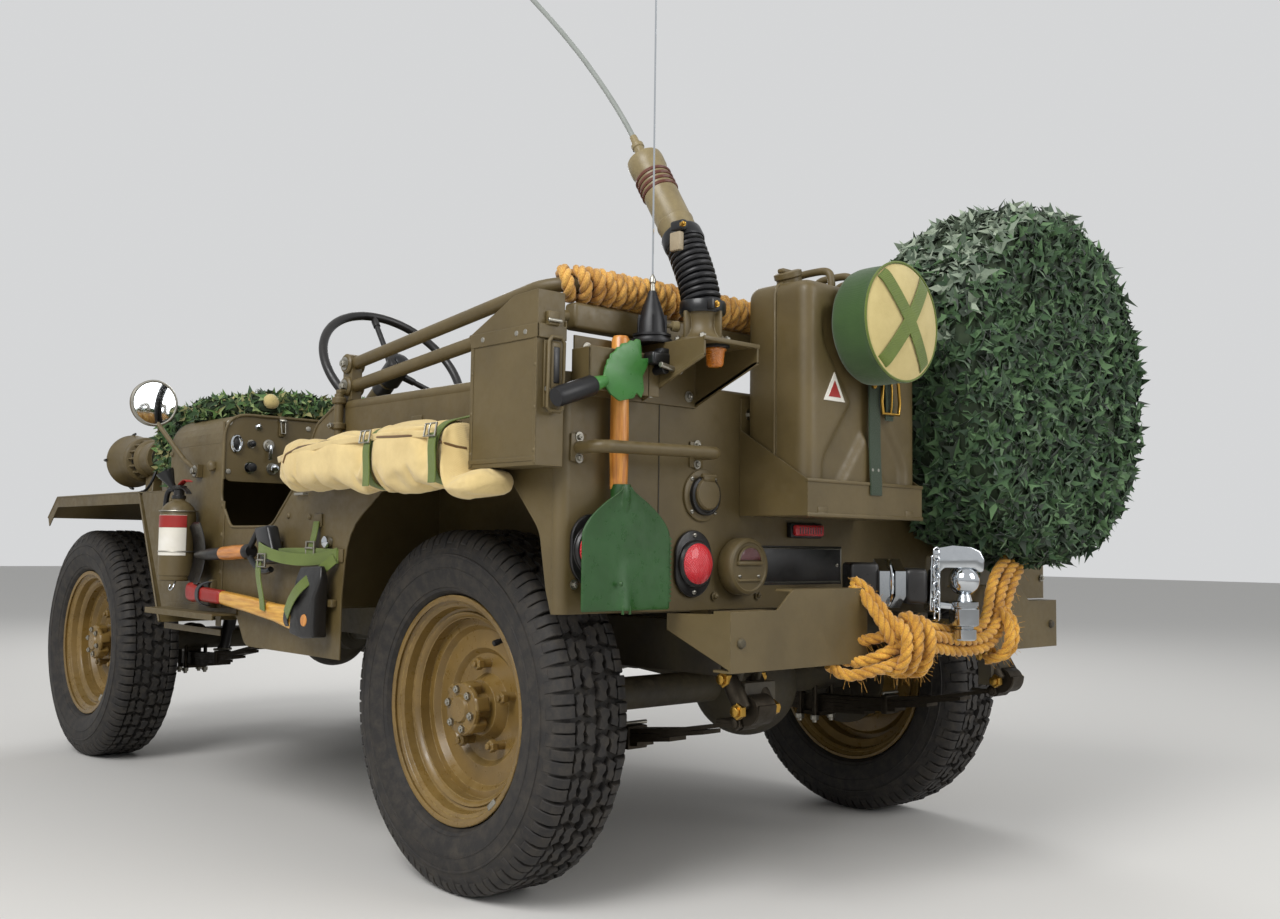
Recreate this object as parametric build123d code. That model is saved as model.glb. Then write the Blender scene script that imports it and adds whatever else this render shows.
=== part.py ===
# Open-topped light 4x4 field car with radio masts, folded bows, lashed tools and a netted spare wheel.
# Sizes in millimetres. X forward, Y to the car's left, Z up, ground at Z = 0.
# Everything is laid out from the rear axle line; at export it is moved so that
# the origin lies on the ground below the middle of the outline.
import os
from math import radians, degrees, sin, cos, tan, atan2, pi, hypot, sqrt
from build123d import *

os.makedirs("parts", exist_ok=True)

# Overall layout
WHEELBASE = 2032
HALF_TRACK = 622
X_TAIL = -440
X_REAR = X_TAIL - 273
X_FRONT = WHEELBASE + 561
X_MID = (X_REAR + X_FRONT) / 2
SHEET = 3
SEAT = 0.3

# Wheel and tyre
R_TYRE = 352
R_RIM = 223
TREAD_HALF = 72
SIDE_HALF = 95
R_BORE = 20.05
R_SPINDLE = 20.0
Y_PIVOT = 470
R_BALL = 60

# Body
HALF_BODY = 790
INNER = HALF_BODY - SHEET
Z_RAIL = 968
X_DASH = 870
X_WALL = 1185
Z_COWL = 990
Z_BED = 565
Z_FLOOR = 532.3
X_HOUSE = 385
Y_HOUSE = 480
Z_HOUSE = 815
Z_SEAM = 915

# Frame rails
RAIL_IN, RAIL_OUT = 333, 371
RAIL_LOW, RAIL_TOP = 432, 532

# Leaf springs: mid height of the top leaf, rise of its eyes, half length between the eyes
Z_SPRING = 306
SPRING_RISE = 60
HALF_SPRING = 526
Y_REAR_SPRING, Y_FRONT_SPRING = 420, 352

# Hinges
X_SCREEN, Z_SCREEN = 1080, 1012
X_LID, Z_LID = X_TAIL + 178, 1035


def box(x0, x1, y0, y1, z0, z1):
    return Pos((x0 + x1) / 2, (y0 + y1) / 2, (z0 + z1) / 2) * Box(abs(x1 - x0), abs(y1 - y0), abs(z1 - z0))


def rod(p, q, r):
    a, b = Vector(*p), Vector(*q)
    d = b - a
    plane = Plane(origin=a, z_dir=d)
    return extrude(plane * Circle(r), amount=d.length)


def ring_y(x, z, y0, y1, r, hole=0):
    s = rod((x, y0, z), (x, y1, z), r)
    return s - rod((x, y0 - 1, z), (x, y1 + 1, z), hole) if hole else s


def plate(points, axis, low, high):
    """Straight-edged sheet: points in the plane square to axis, from low to high along it."""
    if axis == "y":
        pts, d = [(a, low, b) for a, b in points], (0, 1, 0)
    elif axis == "x":
        pts, d = [(low, a, b) for a, b in points], (1, 0, 0)
    else:
        pts, d = [(a, b, low) for a, b in points], (0, 0, 1)
    return extrude(make_face(Polyline(*pts, close=True)), amount=high - low, dir=d)


def tube(points, r, bend):
    path = FilletPolyline(*points, radius=bend)
    start = Plane(origin=path @ 0, z_dir=path % 0)
    return sweep(start * Circle(r), path=path)


def turned(profile, x, y, z, side=1):
    """Solid turned about a line along Y; profile holds (outward, radius) pairs."""
    pts = [(x + r, y + side * a, z) for a, r in profile]
    face = make_face(Polyline(*pts, close=True))
    return revolve(face, axis=Axis((x, y, z), (0, 1, 0)))


def turned_x(profile, x, y, z, side=-1):
    pts = [(x + side * a, y + r, z) for a, r in profile]
    return revolve(make_face(Polyline(*pts, close=True)), axis=Axis((x, y, z), (1, 0, 0)))


def turned_z(profile, x, y, z):
    pts = [(x + r, y, z + a) for a, r in profile]
    return revolve(make_face(Polyline(*pts, close=True)), axis=Axis((x, y, z), (0, 0, 1)))


def other(s):
    return mirror(s, about=Plane.XZ)


def both(s):
    return [s, other(s)]


def out(name, *solids):
    flat = []
    for s in solids:
        flat += list(s) if isinstance(s, (list, tuple)) else [s]
    moved = [Pos(-X_MID, 0, 0) * s for s in flat]
    shape = moved[0] if len(moved) == 1 else Compound(children=moved)
    export_step(shape, f"parts/{name}.step")


# Road wheels: dished rim with hub and drum, and a hollow tyre around it
WELL = R_RIM - 46
RIM = [(72, R_RIM - 7), (72, R_RIM), (65, R_RIM), (60, R_RIM - 16), (34, R_RIM - 20), (28, R_RIM - 40), (-28, R_RIM - 40),
       (-34, R_RIM - 20), (-60, R_RIM - 16), (-65, R_RIM), (-72, R_RIM), (-72, R_RIM - 7), (-66, R_RIM - 7), (-56, R_RIM - 23),
       (-38, R_RIM - 27), (-31, WELL), (2, WELL), (2, WELL - 11), (-10, WELL - 19), (-10, 120), (-22, 108), (-22, 24), (20, 24),
       (20, 0), (44, 0), (44, 30), (47, 34), (47, 44), (38, 44), (38, 36), (8, 36), (8, 54), (-4, 60), (-15, 66), (-15, 106),
       (-4, 117), (-4, WELL - 24), (9, WELL - 15), (9, WELL), (31, WELL), (38, R_RIM - 27), (56, R_RIM - 23), (66, R_RIM - 7)]


def wall(share):
    """Radius at a share of the way from the rim to the tread."""
    return R_RIM + share * (R_TYRE - R_RIM)


TYRE = [(64.5, R_RIM + 0.7), (80, R_RIM + 9), (92, wall(0.3)), (SIDE_HALF, wall(0.48)), (91, wall(0.71)), (82, wall(0.87)),
        (TREAD_HALF, R_TYRE - 4), (60, R_TYRE), (-60, R_TYRE), (-TREAD_HALF, R_TYRE - 4), (-82, wall(0.87)), (-91, wall(0.71)),
        (-SIDE_HALF, wall(0.48)), (-92, wall(0.3)), (-80, R_RIM + 9), (-64.5, R_RIM + 0.7), (-59.4, R_RIM - 15.6),
        (-36, R_RIM - 19.2), (-34, R_RIM - 11), (-58, R_RIM + 3), (-76, wall(0.3)), (-79, wall(0.48)), (-75, wall(0.69)),
        (-58, R_TYRE - 20), (58, R_TYRE - 20), (75, wall(0.69)), (79, wall(0.48)), (76, wall(0.3)), (58, R_RIM + 3),
        (34, R_RIM - 11), (36, R_RIM - 19.2), (59.4, R_RIM - 15.6)]
DRUM = [(-22, R_BORE), (-22, 122), (-79, 122), (-79, 114), (-32, 114), (-32, 34), (-74, 34), (-74, R_BORE)]
WHEELS = [("front_left", WHEELBASE, 1), ("front_right", WHEELBASE, -1), ("rear_left", 0, 1), ("rear_right", 0, -1)]
BORE_END = 12

for name, x, side in WHEELS:
    y = side * HALF_TRACK
    rim = turned(RIM, x, y, R_TYRE, side)
    drum = turned(DRUM, x, y, R_TYRE, side)
    bore = rod((x, y - side * 80, R_TYRE), (x, y + side * BORE_END, R_TYRE), R_BORE)
    wheel = rim + drum - bore
    for i in range(5):
        t = radians(90 + 72 * i)
        cx, cz = x + 86 * cos(t), R_TYRE + 86 * sin(t)
        wheel += rod((cx, y - side * 16, cz), (cx, y + side * 6, cz), 9)
    for i in range(6):
        t = radians(60 * i)
        cx, cz = x + 38.5 * cos(t), R_TYRE + 38.5 * sin(t)
        wheel += rod((cx, y + side * 46, cz), (cx, y + side * 52, cz), 5)
    out(f"wheel_{name}", wheel)
    out(f"tyre_{name}", turned(TYRE, x, y, R_TYRE, side))

# Rear axle: tube, differential housing, spindles and brake backing plates
rear = rod((0, -540, R_TYRE), (0, 540, R_TYRE), 36)
rear += Pos(0, -150, R_TYRE) * Sphere(125)
rear += rod((0, -150, R_TYRE), (150, -150, R_TYRE + 8), 62)
for s in (1, -1):
    rear += rod((0, s * 530, R_TYRE), (0, s * (HALF_TRACK + BORE_END - 4), R_TYRE), R_SPINDLE)
    rear += ring_y(0, R_TYRE, s * 526, s * 536, 128)
    rear += box(-16, 16, s * (Y_REAR_SPRING - 22), s * (Y_REAR_SPRING + 22), Z_SPRING + 1, R_TYRE + 20)
out("rear_axle", rear)

# Front axle: tube with offset differential, ball ends and the tie rod
front = rod((WHEELBASE, -Y_PIVOT, R_TYRE), (WHEELBASE, Y_PIVOT, R_TYRE), 36)
front += Pos(WHEELBASE, -170, R_TYRE) * Sphere(120)
front += rod((WHEELBASE, -170, R_TYRE), (WHEELBASE - 150, -170, R_TYRE + 8), 60)
for s in (1, -1):
    front += Pos(WHEELBASE, s * Y_PIVOT, R_TYRE) * Sphere(R_BALL)
    front += box(WHEELBASE - 16, WHEELBASE + 16, s * 330, s * 374, Z_SPRING + 1, R_TYRE + 20)
out("front_axle", front)

# Steering knuckles: half shells over the ball ends, spindle and backing plate
for name, s in (("left", 1), ("right", -1)):
    shell = Pos(WHEELBASE, s * Y_PIVOT, R_TYRE) * (Sphere(76) - Sphere(R_BALL + SEAT))
    shell -= box(WHEELBASE - 90, WHEELBASE + 90, s * (Y_PIVOT - 90), s * (Y_PIVOT - 12), R_TYRE - 90, R_TYRE + 90)
    knuckle = shell + rod((WHEELBASE, s * (Y_PIVOT + 70), R_TYRE), (WHEELBASE, s * (HALF_TRACK + BORE_END - 4), R_TYRE),
                          R_SPINDLE)
    knuckle += ring_y(WHEELBASE, R_TYRE, s * 526, s * 536, 128, 0) - rod((WHEELBASE, s * Y_PIVOT, R_TYRE),
                                                                     (WHEELBASE, s * 540, R_TYRE), 30)
    for dz in (1, -1):
        knuckle += rod((WHEELBASE, s * Y_PIVOT, R_TYRE + dz * 70), (WHEELBASE, s * Y_PIVOT, R_TYRE + dz * 88), 22)
    out(f"knuckle_{name}", knuckle)

# Frame: two channel rails and cross members
def channel(y_in, y_out, z0, z1, x0, x1, t=4):
    s = 1 if y_out > y_in else -1
    pts = [(y_in, z0), (y_out, z0), (y_out, z1), (y_in, z1), (y_in, z1 - t), (y_out - s * t, z1 - t),
           (y_out - s * t, z0 + t), (y_in, z0 + t)]
    return plate(pts, "x", x0, x1)


X_RAIL_END = X_FRONT - 53
frame = [channel(side * RAIL_IN, side * RAIL_OUT, RAIL_LOW, RAIL_TOP, X_TAIL + 30, X_RAIL_END) for side in (1, -1)]
CROSS = [(X_TAIL + 30, 60, 44, 88), (430, 70, 38, 90), (1186, 40, 14, 40), (1700, 50, 20, 72.7), (WHEELBASE + 20, 84, 60, 95.7),
         (WHEELBASE + 318, 60, 20, 80)]
for x, length, low, high in CROSS:
    y = RAIL_OUT - 4 - SEAT
    frame.append(box(x, x + length, -y, y, RAIL_LOW + low, RAIL_LOW + high))
Z_EYE = Z_SPRING + SPRING_RISE - 2
for k, s in enumerate((1, -1)):
    for e in (-1, 1):
        x = e * HALF_SPRING
        frame[k] += box(x - 16, x + 16, s * (RAIL_OUT - 8), s * (Y_REAR_SPRING + 24), Z_EYE + 14.3, RAIL_LOW + 3)
        x = WHEELBASE + e * HALF_SPRING
        if x < X_RAIL_END - 5:
            frame[k] += box(x - 16, x + 16, s * (RAIL_IN - 3), s * (RAIL_OUT + 3), Z_EYE + 14.3, RAIL_LOW + 3)
out("chassis_frame", frame)

# Front bumper: channel bar across both rails
bumper = box(X_FRONT - 50, X_FRONT, -600, 600, RAIL_LOW - 2, RAIL_TOP - 2)
bumper -= box(X_FRONT - 53, X_FRONT - 5, -590, 590, RAIL_LOW + 4, RAIL_TOP - 8)
for s in (1, -1):
    bumper += box(X_FRONT - 53 + SEAT, X_FRONT - 4, s * (RAIL_IN + 2), s * (RAIL_OUT - 2), RAIL_LOW + 4, RAIL_TOP - 8)
out("front_bumper", bumper)

# Leaf springs with shackles
LEAVES = [(520, 0), (440, 8), (350, 16), (260, 24), (170, 32)]


def spring(x, y, z_mid, rise):
    s = None
    for half, drop in LEAVES:
        def zc(a):
            return z_mid + rise * (a / 520) ** 2 - drop
        n = 6
        xs = [-half + 2 * half * i / n for i in range(n + 1)]
        pts = [(x + a, zc(a)) for a in xs] + [(x + a, zc(a) - 7.9) for a in reversed(xs)]
        leaf = plate(pts, "y", y - 22, y + 22)
        s = leaf if s is None else s + leaf
    for e in (-1, 1):
        s += ring_y(x + e * 526, z_mid + rise - 2, y - 22, y + 22, 14)
    s += box(x - 38, x + 38, y - 30, y + 30, z_mid - 50, z_mid - 40)
    s += box(x - 30, x - 18, y - 22, y + 22, z_mid - 41, z_mid + 0) + box(x + 18, x + 30, y - 22, y + 22, z_mid - 41, z_mid)
    return s


rear_spring = spring(0, Y_REAR_SPRING, Z_SPRING, SPRING_RISE)
front_spring = spring(WHEELBASE, Y_FRONT_SPRING, Z_SPRING, SPRING_RISE)
out("leaf_springs", both(rear_spring), both(front_spring))


def smooth(corners, n=4):
    """Outline with rounded corners: each corner is (a, b) or (a, b, radius)."""
    pts = []
    m = len(corners)
    for i, c in enumerate(corners):
        r = c[2] if len(c) > 2 else 0
        if not r:
            pts.append((c[0], c[1]))
            continue
        p, q = corners[i - 1], corners[(i + 1) % m]
        ax, ay = p[0] - c[0], p[1] - c[1]
        bx, by = q[0] - c[0], q[1] - c[1]
        la, lb = hypot(ax, ay), hypot(bx, by)
        ax, ay, bx, by = ax / la, ay / la, bx / lb, by / lb
        half = atan2(abs(ax * by - ay * bx), ax * bx + ay * by) / 2
        t = r / tan(half)
        hx, hy = ax + bx, ay + by
        hl = hypot(hx, hy)
        ox, oy = c[0] + hx / hl * r / sin(half), c[1] + hy / hl * r / sin(half)
        a0 = atan2(c[1] + ay * t - oy, c[0] + ax * t - ox)
        a1 = atan2(c[1] + by * t - oy, c[0] + bx * t - ox)
        d = (a1 - a0 + pi) % (2 * pi) - pi
        pts += [(ox + r * cos(a0 + d * k / n), oy + r * sin(a0 + d * k / n)) for k in range(n + 1)]
    return pts


# Tub sides: sheet with the wheel arch and the scooped doorway
SIDE = [(X_TAIL + 20.3, 560), (-425 + 20, 600, 40), (-385, 700, 60), (-290, 800, 70), (90, 800, 110), (255, 700, 130),
        (275, 560, 200), (275, 432), (715, 432, 40), (765, 500, 30), (1212, 500), (1380, 803.5, 5), (1186, 803.5),
        (1186, Z_SEAM - SEAT), (X_DASH, Z_SEAM - SEAT), (X_DASH, 775, 50), (813, 709, 40), (600, 709, 70), (478, 812, 90),
        (400, 930, 50), (330, Z_RAIL, 40), (X_TAIL + 20.3, Z_RAIL)]
side = plate(smooth(SIDE), "y", INNER, HALF_BODY)
side += rod((X_TAIL + 20.3, HALF_BODY - 10, Z_RAIL - 6), (306, HALF_BODY - 10, Z_RAIL - 6), 12)
out("tub_sides", both(side))

# Rear panel with rounded corner posts and top rail
panel = box(X_TAIL, X_TAIL + SHEET, -HALF_BODY + 20, HALF_BODY - 20, 560, Z_RAIL)
for s in (1, -1):
    corner = Pos(X_TAIL + 20, s * (HALF_BODY - 20), (560 + Z_RAIL) / 2) * (Cylinder(20, Z_RAIL - 560) - Cylinder(17, 500))
    panel += corner & box(X_TAIL - 1, X_TAIL + 20, s * (HALF_BODY - 20), s * (HALF_BODY + 1), 500, 1000)
panel += rod((X_TAIL + 13, -HALF_BODY + 40, Z_RAIL - 6), (X_TAIL + 13, HALF_BODY - 40, Z_RAIL - 6), 12)
out("rear_panel", panel)

# Wheel houses inside the tub
X_BED0 = X_TAIL + SHEET + SEAT
house = box(X_BED0, X_HOUSE, Y_HOUSE, Y_HOUSE + SHEET, Z_BED + SHEET + SEAT, Z_HOUSE)
house += box(X_BED0, X_HOUSE, Y_HOUSE, INNER - SEAT, Z_HOUSE - SHEET, Z_HOUSE)
house += box(X_HOUSE - SHEET, X_HOUSE, Y_HOUSE, INNER - SEAT, Z_FLOOR + SHEET + SEAT, Z_HOUSE)
house -= box(X_TAIL, X_TAIL + 20.3, HALF_BODY - 24, HALF_BODY, 500, 900)
house -= box(X_HOUSE - 10, X_HOUSE + 1, Y_HOUSE - 1, Y_HOUSE + SHEET + SEAT, 400, Z_BED + SHEET + SEAT)
out("wheel_houses", both(house))

# Floor: rear bed, step down, front floor and toe board, with the gearbox tunnel
X_STEP = X_HOUSE + SEAT
X_TOE, Z_TOE, X_TOE_END = 1001, 650, X_WALL - SHEET - SEAT
TUNNEL, Z_TUNNEL, X_TUNNEL = 130, 660, 720
bed = box(X_BED0, X_STEP + SHEET, -Y_HOUSE - SHEET, Y_HOUSE + SHEET, Z_BED, Z_BED + SHEET)
bed += box(X_STEP, X_STEP + SHEET, -Y_HOUSE - SHEET, Y_HOUSE + SHEET, Z_FLOOR + SHEET + SEAT, Z_BED + 1)
for x in (-380, -90, 250):
    bed += box(x, x + 50, -RAIL_OUT, RAIL_OUT, RAIL_TOP + SEAT, Z_BED + 1)
floor = [bed, box(X_STEP, X_TUNNEL - SEAT, -INNER + SEAT, INNER - SEAT, Z_FLOOR, Z_FLOOR + SHEET)]
for s in (1, -1):
    floor.append(box(X_TUNNEL, X_TOE - SEAT, s * (TUNNEL + SEAT), s * (INNER - SEAT), Z_FLOOR, Z_FLOOR + SHEET))
    toe = [(X_TOE, Z_FLOOR), (X_TOE_END, Z_TOE), (X_TOE_END, Z_TOE + 4.5), (X_TOE, Z_FLOOR + 4.3)]
    edges = sorted((s * (TUNNEL + SEAT), s * (INNER - SEAT)))
    floor.append(plate(toe, "y", *edges))
tunnel = box(X_TUNNEL, X_TOE_END, -TUNNEL, TUNNEL, Z_FLOOR, Z_TUNNEL)
floor.append(tunnel - box(X_TUNNEL + SHEET, X_WALL, -TUNNEL + SHEET, TUNNEL - SHEET, 400, Z_TUNNEL - SHEET))
out("floor_pan", floor)

# Cowl: top and shoulders, instrument panel and firewall, with the steering column's way through
Y_COLUMN = 450
COLUMN = [(1245, 686), (650, 1105)]
COLUMN_TILT = atan2(COLUMN[1][1] - COLUMN[0][1], COLUMN[0][0] - COLUMN[1][0])


def shell_u(half, low, top, r, x0, x1, t=SHEET):
    outer = plate(smooth([(-half, low), (-half, top, r), (half, top, r), (half, low)], 6), "x", x0, x1)
    inner = plate(smooth([(-half + t, low - 5), (-half + t, top - t, r - t), (half - t, top - t, r - t), (half - t, low - 5)],
                         6), "x", x0 - 1, x1 + 1)
    return outer - inner


cowl = shell_u(HALF_BODY, Z_SEAM, Z_COWL, 65, X_DASH, X_WALL)
dash = plate(smooth([(-INNER + SEAT, 822, 20), (-INNER + SEAT, Z_COWL - 1, 62), (INNER - SEAT, Z_COWL - 1, 62),
                     (INNER - SEAT, 822, 20)], 6), "x", X_DASH, X_DASH + SHEET)
wall = plate(smooth([(-INNER + SEAT, 655), (-INNER + SEAT, Z_COWL - 1, 62), (INNER - SEAT, Z_COWL - 1, 62),
                     (INNER - SEAT, 655)], 6), "x", X_WALL - SHEET, X_WALL)
wall -= box(X_WALL - 10, X_WALL + 5, -TUNNEL - 1, TUNNEL + 1, 500, Z_TUNNEL + SEAT)
cowl += dash + wall
cowl -= rod((COLUMN[0][0], Y_COLUMN, COLUMN[0][1]), (COLUMN[1][0], Y_COLUMN, COLUMN[1][1]), 22 + SEAT)
WS_HALF = 575
SCREEN_Y = WS_HALF + 15
SCREEN_PIN = 8
for s in (1, -1):
    ear = box(X_SCREEN - 18, X_SCREEN + 18, s * SCREEN_Y, s * (SCREEN_Y + 14), Z_COWL - 2, Z_SCREEN + 14)
    cowl += ear - rod((X_SCREEN, s * (SCREEN_Y - 5), Z_SCREEN), (X_SCREEN, s * (SCREEN_Y + 20), Z_SCREEN), SCREEN_PIN + 0.05)
out("cowl", cowl)

# Windscreen, folded forward over the bonnet; it hinges on the cowl's ears
WS_X0, WS_X1, WS_Z0, WS_Z1, WS_BAR = X_SCREEN + 19, X_SCREEN + 532, Z_SCREEN + 16, Z_SCREEN + 42, 34
screen = box(WS_X0, WS_X1, -WS_HALF, WS_HALF, WS_Z0, WS_Z1)
for y0, y1 in ((WS_BAR, WS_HALF - WS_BAR), (-WS_HALF + WS_BAR, -WS_BAR)):
    y0 = y0 if y0 != WS_BAR else WS_BAR / 2
    y1 = y1 if y1 != -WS_BAR else -WS_BAR / 2
    screen -= box(WS_X0 + 110, WS_X1 - WS_BAR, y0, y1, WS_Z0 - 1, WS_Z1 + 1)
for s in (1, -1):
    screen += box(X_SCREEN - 14, WS_X0 + 30, s * (SCREEN_Y - 6), s * (SCREEN_Y - 20), Z_SCREEN - 10, WS_Z0 + 10)
    screen += rod((X_SCREEN, s * (SCREEN_Y - 10), Z_SCREEN), (X_SCREEN, s * (SCREEN_Y + 13), Z_SCREEN), SCREEN_PIN)
out("windscreen_frame", screen)
pane = box(WS_X0 + 110.3, WS_X1 - WS_BAR - 0.3, WS_BAR / 2 + 0.3, WS_HALF - WS_BAR - 0.3, WS_Z0 + 10, WS_Z0 + 16)
out("windscreen_glass", both(pane))

# Bonnet: tapering shell with two rest blocks for the folded windscreen
X_NOSE = WHEELBASE + 128


def hood_face(half, low, top, r, x):
    pts = [(x, a, b) for a, b in smooth([(-half, low), (-half, top, r), (half, top, r), (half, low)], 6)]
    return make_face(Polyline(*pts, close=True))


REAR_H, FRONT_H = 572, 447
hood = loft([hood_face(REAR_H, 826, 984, 55, X_WALL + 2), hood_face(FRONT_H, 826, 952, 55, X_NOSE)])
hood -= loft([hood_face(REAR_H - 3, 800, 981, 52, X_WALL + 1), hood_face(FRONT_H - 3, 800, 949, 52, X_NOSE + 1)])
for s in (1, -1):
    hood += box(1470, 1540, s * 250, s * 290, 972, WS_Z0 - SEAT)
out("bonnet", hood)

# Radiator grille with nine slots and two lamp openings, and the headlamps behind it
grille = plate(smooth([(-442, RAIL_TOP + SEAT, 40), (-442, 950, 60), (442, 950, 60), (442, RAIL_TOP + SEAT, 40)]), "x", X_NOSE + SEAT, X_NOSE + 6)
grille += shell_u(442, 576, 950, 60, X_NOSE + 5.9, X_NOSE + 36, 3)
LAMP_Y, LAMP_Z, LAMP_R = 335, 770, 84
for k in range(9):
    y = -200 + 50 * k
    grille -= box(X_NOSE, X_NOSE + 10, y - 15, y + 15, 560, 900)
for s in (1, -1):
    grille -= rod((X_NOSE - 5, s * LAMP_Y, LAMP_Z), (X_NOSE + 20, s * LAMP_Y, LAMP_Z), LAMP_R + SEAT)
out("grille", grille)
lamp = turned_x([(-50, 0), (-50, 40), (-20, 74), (0, LAMP_R), (14, LAMP_R), (14, 76), (24, 40), (27, 0)], X_NOSE, LAMP_Y, LAMP_Z, 1)
out("headlamps", both(lamp))

# Front wings with sloped rear aprons, and the inner splash panels
Z_WING = 806
X_WING = WHEELBASE + 44
WING = [(1227, 460), (1230.6, 460), (1403, Z_WING - SHEET), (X_WING - 1, Z_WING - SHEET), (X_WING + 79, Z_WING - 64),
        (X_WING + 81, Z_WING - 61), (X_WING, Z_WING), (1400.6, Z_WING)]
wing = plate(WING, "y", 382, HALF_BODY)
wing += box(1188, 1402, 585, HALF_BODY, Z_WING - 2, Z_WING + 0.9)
wing += plate([(1403, Z_WING - SHEET), (X_WING - 1, Z_WING - SHEET), (X_WING + 79, Z_WING - 64), (X_WING + 66, Z_WING - 90),
               (X_WING - 8, Z_WING - 31), (1388, Z_WING - 31)], "y", INNER, HALF_BODY)
wing += plate([(1264, 535), (X_WING + 18, 535), (X_WING + 18, Z_WING - 13), (X_WING - 1, Z_WING - SHEET), (1403, Z_WING - SHEET)],
              "y", 382, 385)
wing -= box(X_WING + 19, X_WING + 124, 300, 450, 400, 900)
out("front_wings", both(wing))

# Running steps below the doorways
step = box(760, 1165, HALF_BODY + SEAT, HALF_BODY + 62, 500, 504) + box(760, 1165, HALF_BODY + 59, HALF_BODY + 62, 490, 504)
step += box(760, 1165, HALF_BODY + SEAT, HALF_BODY + 3, 500, 516)
out("steps", both(step))

# Engine with gearbox as plain masses, and the radiator
engine = box(1340, 1900, -190, 190, 505, 850)
gearbox = box(740, 1186 - SEAT, -100, 100, 370, 590)
radiator = box(X_NOSE - 100, X_NOSE - 35, -245, 245, RAIL_TOP + SEAT, 920)
out("powertrain", engine, gearbox, radiator)

# Fuel tank below the left seat, propeller shafts, silencer and its pipe
out("fuel_tank", box(505, 765, 245, 555, Z_FLOOR + SHEET + SEAT, 636))
def pinion_end(x, y, s, d):
    k = 150.213 + d
    return (x + s * 150 * k / 150.213, y, R_TYRE + 8 * k / 150.213)


rear_shaft = rod((740 - SEAT, -60, 430), (726, -60, 430), 30) + rod((730, -60, 430), pinion_end(0, -150, 1, 8), 24)
rear_shaft += rod(pinion_end(0, -150, 1, SEAT), pinion_end(0, -150, 1, 12), 32)
front_shaft = rod((1186, -70, 400), (1198, -70, 400), 28) + rod((1194, -70, 400), pinion_end(WHEELBASE, -170, -1, 8), 24)
front_shaft += rod(pinion_end(WHEELBASE, -170, -1, SEAT), pinion_end(WHEELBASE, -170, -1, 12), 32)
out("propeller_shafts", rear_shaft, front_shaft)
pipe = tube([(1440, -190 - SEAT, 560), (1440, -240, 560), (1300, -245, 420), (1210, -260, 400), (868, -260, 400)], 20, 24)
out("exhaust", pipe + rod((870, -260, 400), (500, -260, 400), 62) + tube([(500, -260, 400), (300, -260, 395), (240, -240, 410)], 18, 60))

# Seats: two in front and a bench at the back
seats = []
for y in (-400, 400):
    s1 = box(470, 800, y - 200, y + 200, 640, 720) + box(440, 500, y - 200, y + 200, 640, 1010)
    for dx in (480, 770):
        for dy in (-180, 160):
            s1 += box(dx, dx + 20, y + dy, y + dy + 20, Z_FLOOR + SHEET + SEAT, 645)
    seats.append(s1)
bench = box(-330, 60, -440, 440, 700, 770) + box(-390, -330, -440, 440, 700, 960)
for y in (-400, 360):
    bench += box(-320, -280, y, y + 40, Z_BED + SHEET + SEAT, 705) + box(0, 40, y, y + 40, Z_BED + SHEET + SEAT, 705)
seats.append(bench)
out("seats", seats)

# Steering column, and the wheel that turns on its end
ux, uz = -cos(COLUMN_TILT), sin(COLUMN_TILT)
cx, cz = COLUMN[1]


def along(d):
    return (cx + ux * d, Y_COLUMN, cz + uz * d)


column = rod((COLUMN[0][0], Y_COLUMN, COLUMN[0][1]), along(-40), 22) + rod(along(-50), along(24), 10)
out("steering_column", column)
R_WHEEL = 200
plane = Plane(origin=along(0), x_dir=(0, 1, 0), z_dir=(ux, 0, uz))
hub = rod(along(-30), along(30), 30) - rod(along(-31), along(25), 10.05)
wheel = plane * Torus(R_WHEEL - 11, 11) + hub
for i in range(3):
    t = radians(90 + 120 * i)
    vx = Vector(0, 1, 0) * cos(t) + Vector(uz, 0, -ux) * sin(t)
    c = Vector(*along(0))
    p, q = c + vx * 25, c + vx * (R_WHEEL - 11)
    wheel += rod(tuple(p), tuple(q), 7)
out("steering_wheel", wheel)

# Radio set box on the rear left corner, with a sloped lid
BOX_Y0, BOX_Y1, BOX_X0, BOX_X1, BOX_Z0 = HALF_BODY + 5, HALF_BODY + 62, X_TAIL - 10, X_TAIL + 178, Z_LID - 230
can = box(BOX_X0, BOX_X1, BOX_Y0, BOX_Y1, BOX_Z0, Z_LID) - box(BOX_X0 + 2, BOX_X1 - 2, BOX_Y0 + 2, BOX_Y1 - 2, BOX_Z0 + 2, Z_LID + 1)
can += box(BOX_X0 + 60, BOX_X1 - 60, HALF_BODY + SEAT, BOX_Y0 + 1, BOX_Z0 + 25, BOX_Z0 + 135)
LID = [(BOX_X0, Z_LID + SEAT), (BOX_X1, Z_LID + SEAT), (BOX_X1, Z_LID + 5), (X_LID - 123, Z_LID + 58), (BOX_X0, Z_LID + 61)]
LID_IN = [(BOX_X0 + 2, Z_LID - 1), (BOX_X1 - 2, Z_LID - 1), (BOX_X1 - 2, Z_LID + 4), (X_LID - 123.6, Z_LID + 56), (BOX_X0 + 2, Z_LID + 59)]
lid = plate(LID, "y", BOX_Y0, BOX_Y1) - plate(LID_IN, "y", BOX_Y0 + 2, BOX_Y1 - 2)
HX, HZ = BOX_X1 + 5, Z_LID + 2
for y0, y1 in ((BOX_Y0 + 2, BOX_Y0 + 14), (BOX_Y1 - 14, BOX_Y1 - 2)):
    can += rod((HX, y0, HZ), (HX, y1, HZ), 4) + box(BOX_X1 - 1, HX, y0, y1, HZ - 12, HZ - 1)
can -= box(BOX_X1 - 2.5, BOX_X1 + 0.4, BOX_Y0, BOX_Y1, Z_LID + 0.01, Z_LID + 20)
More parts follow.
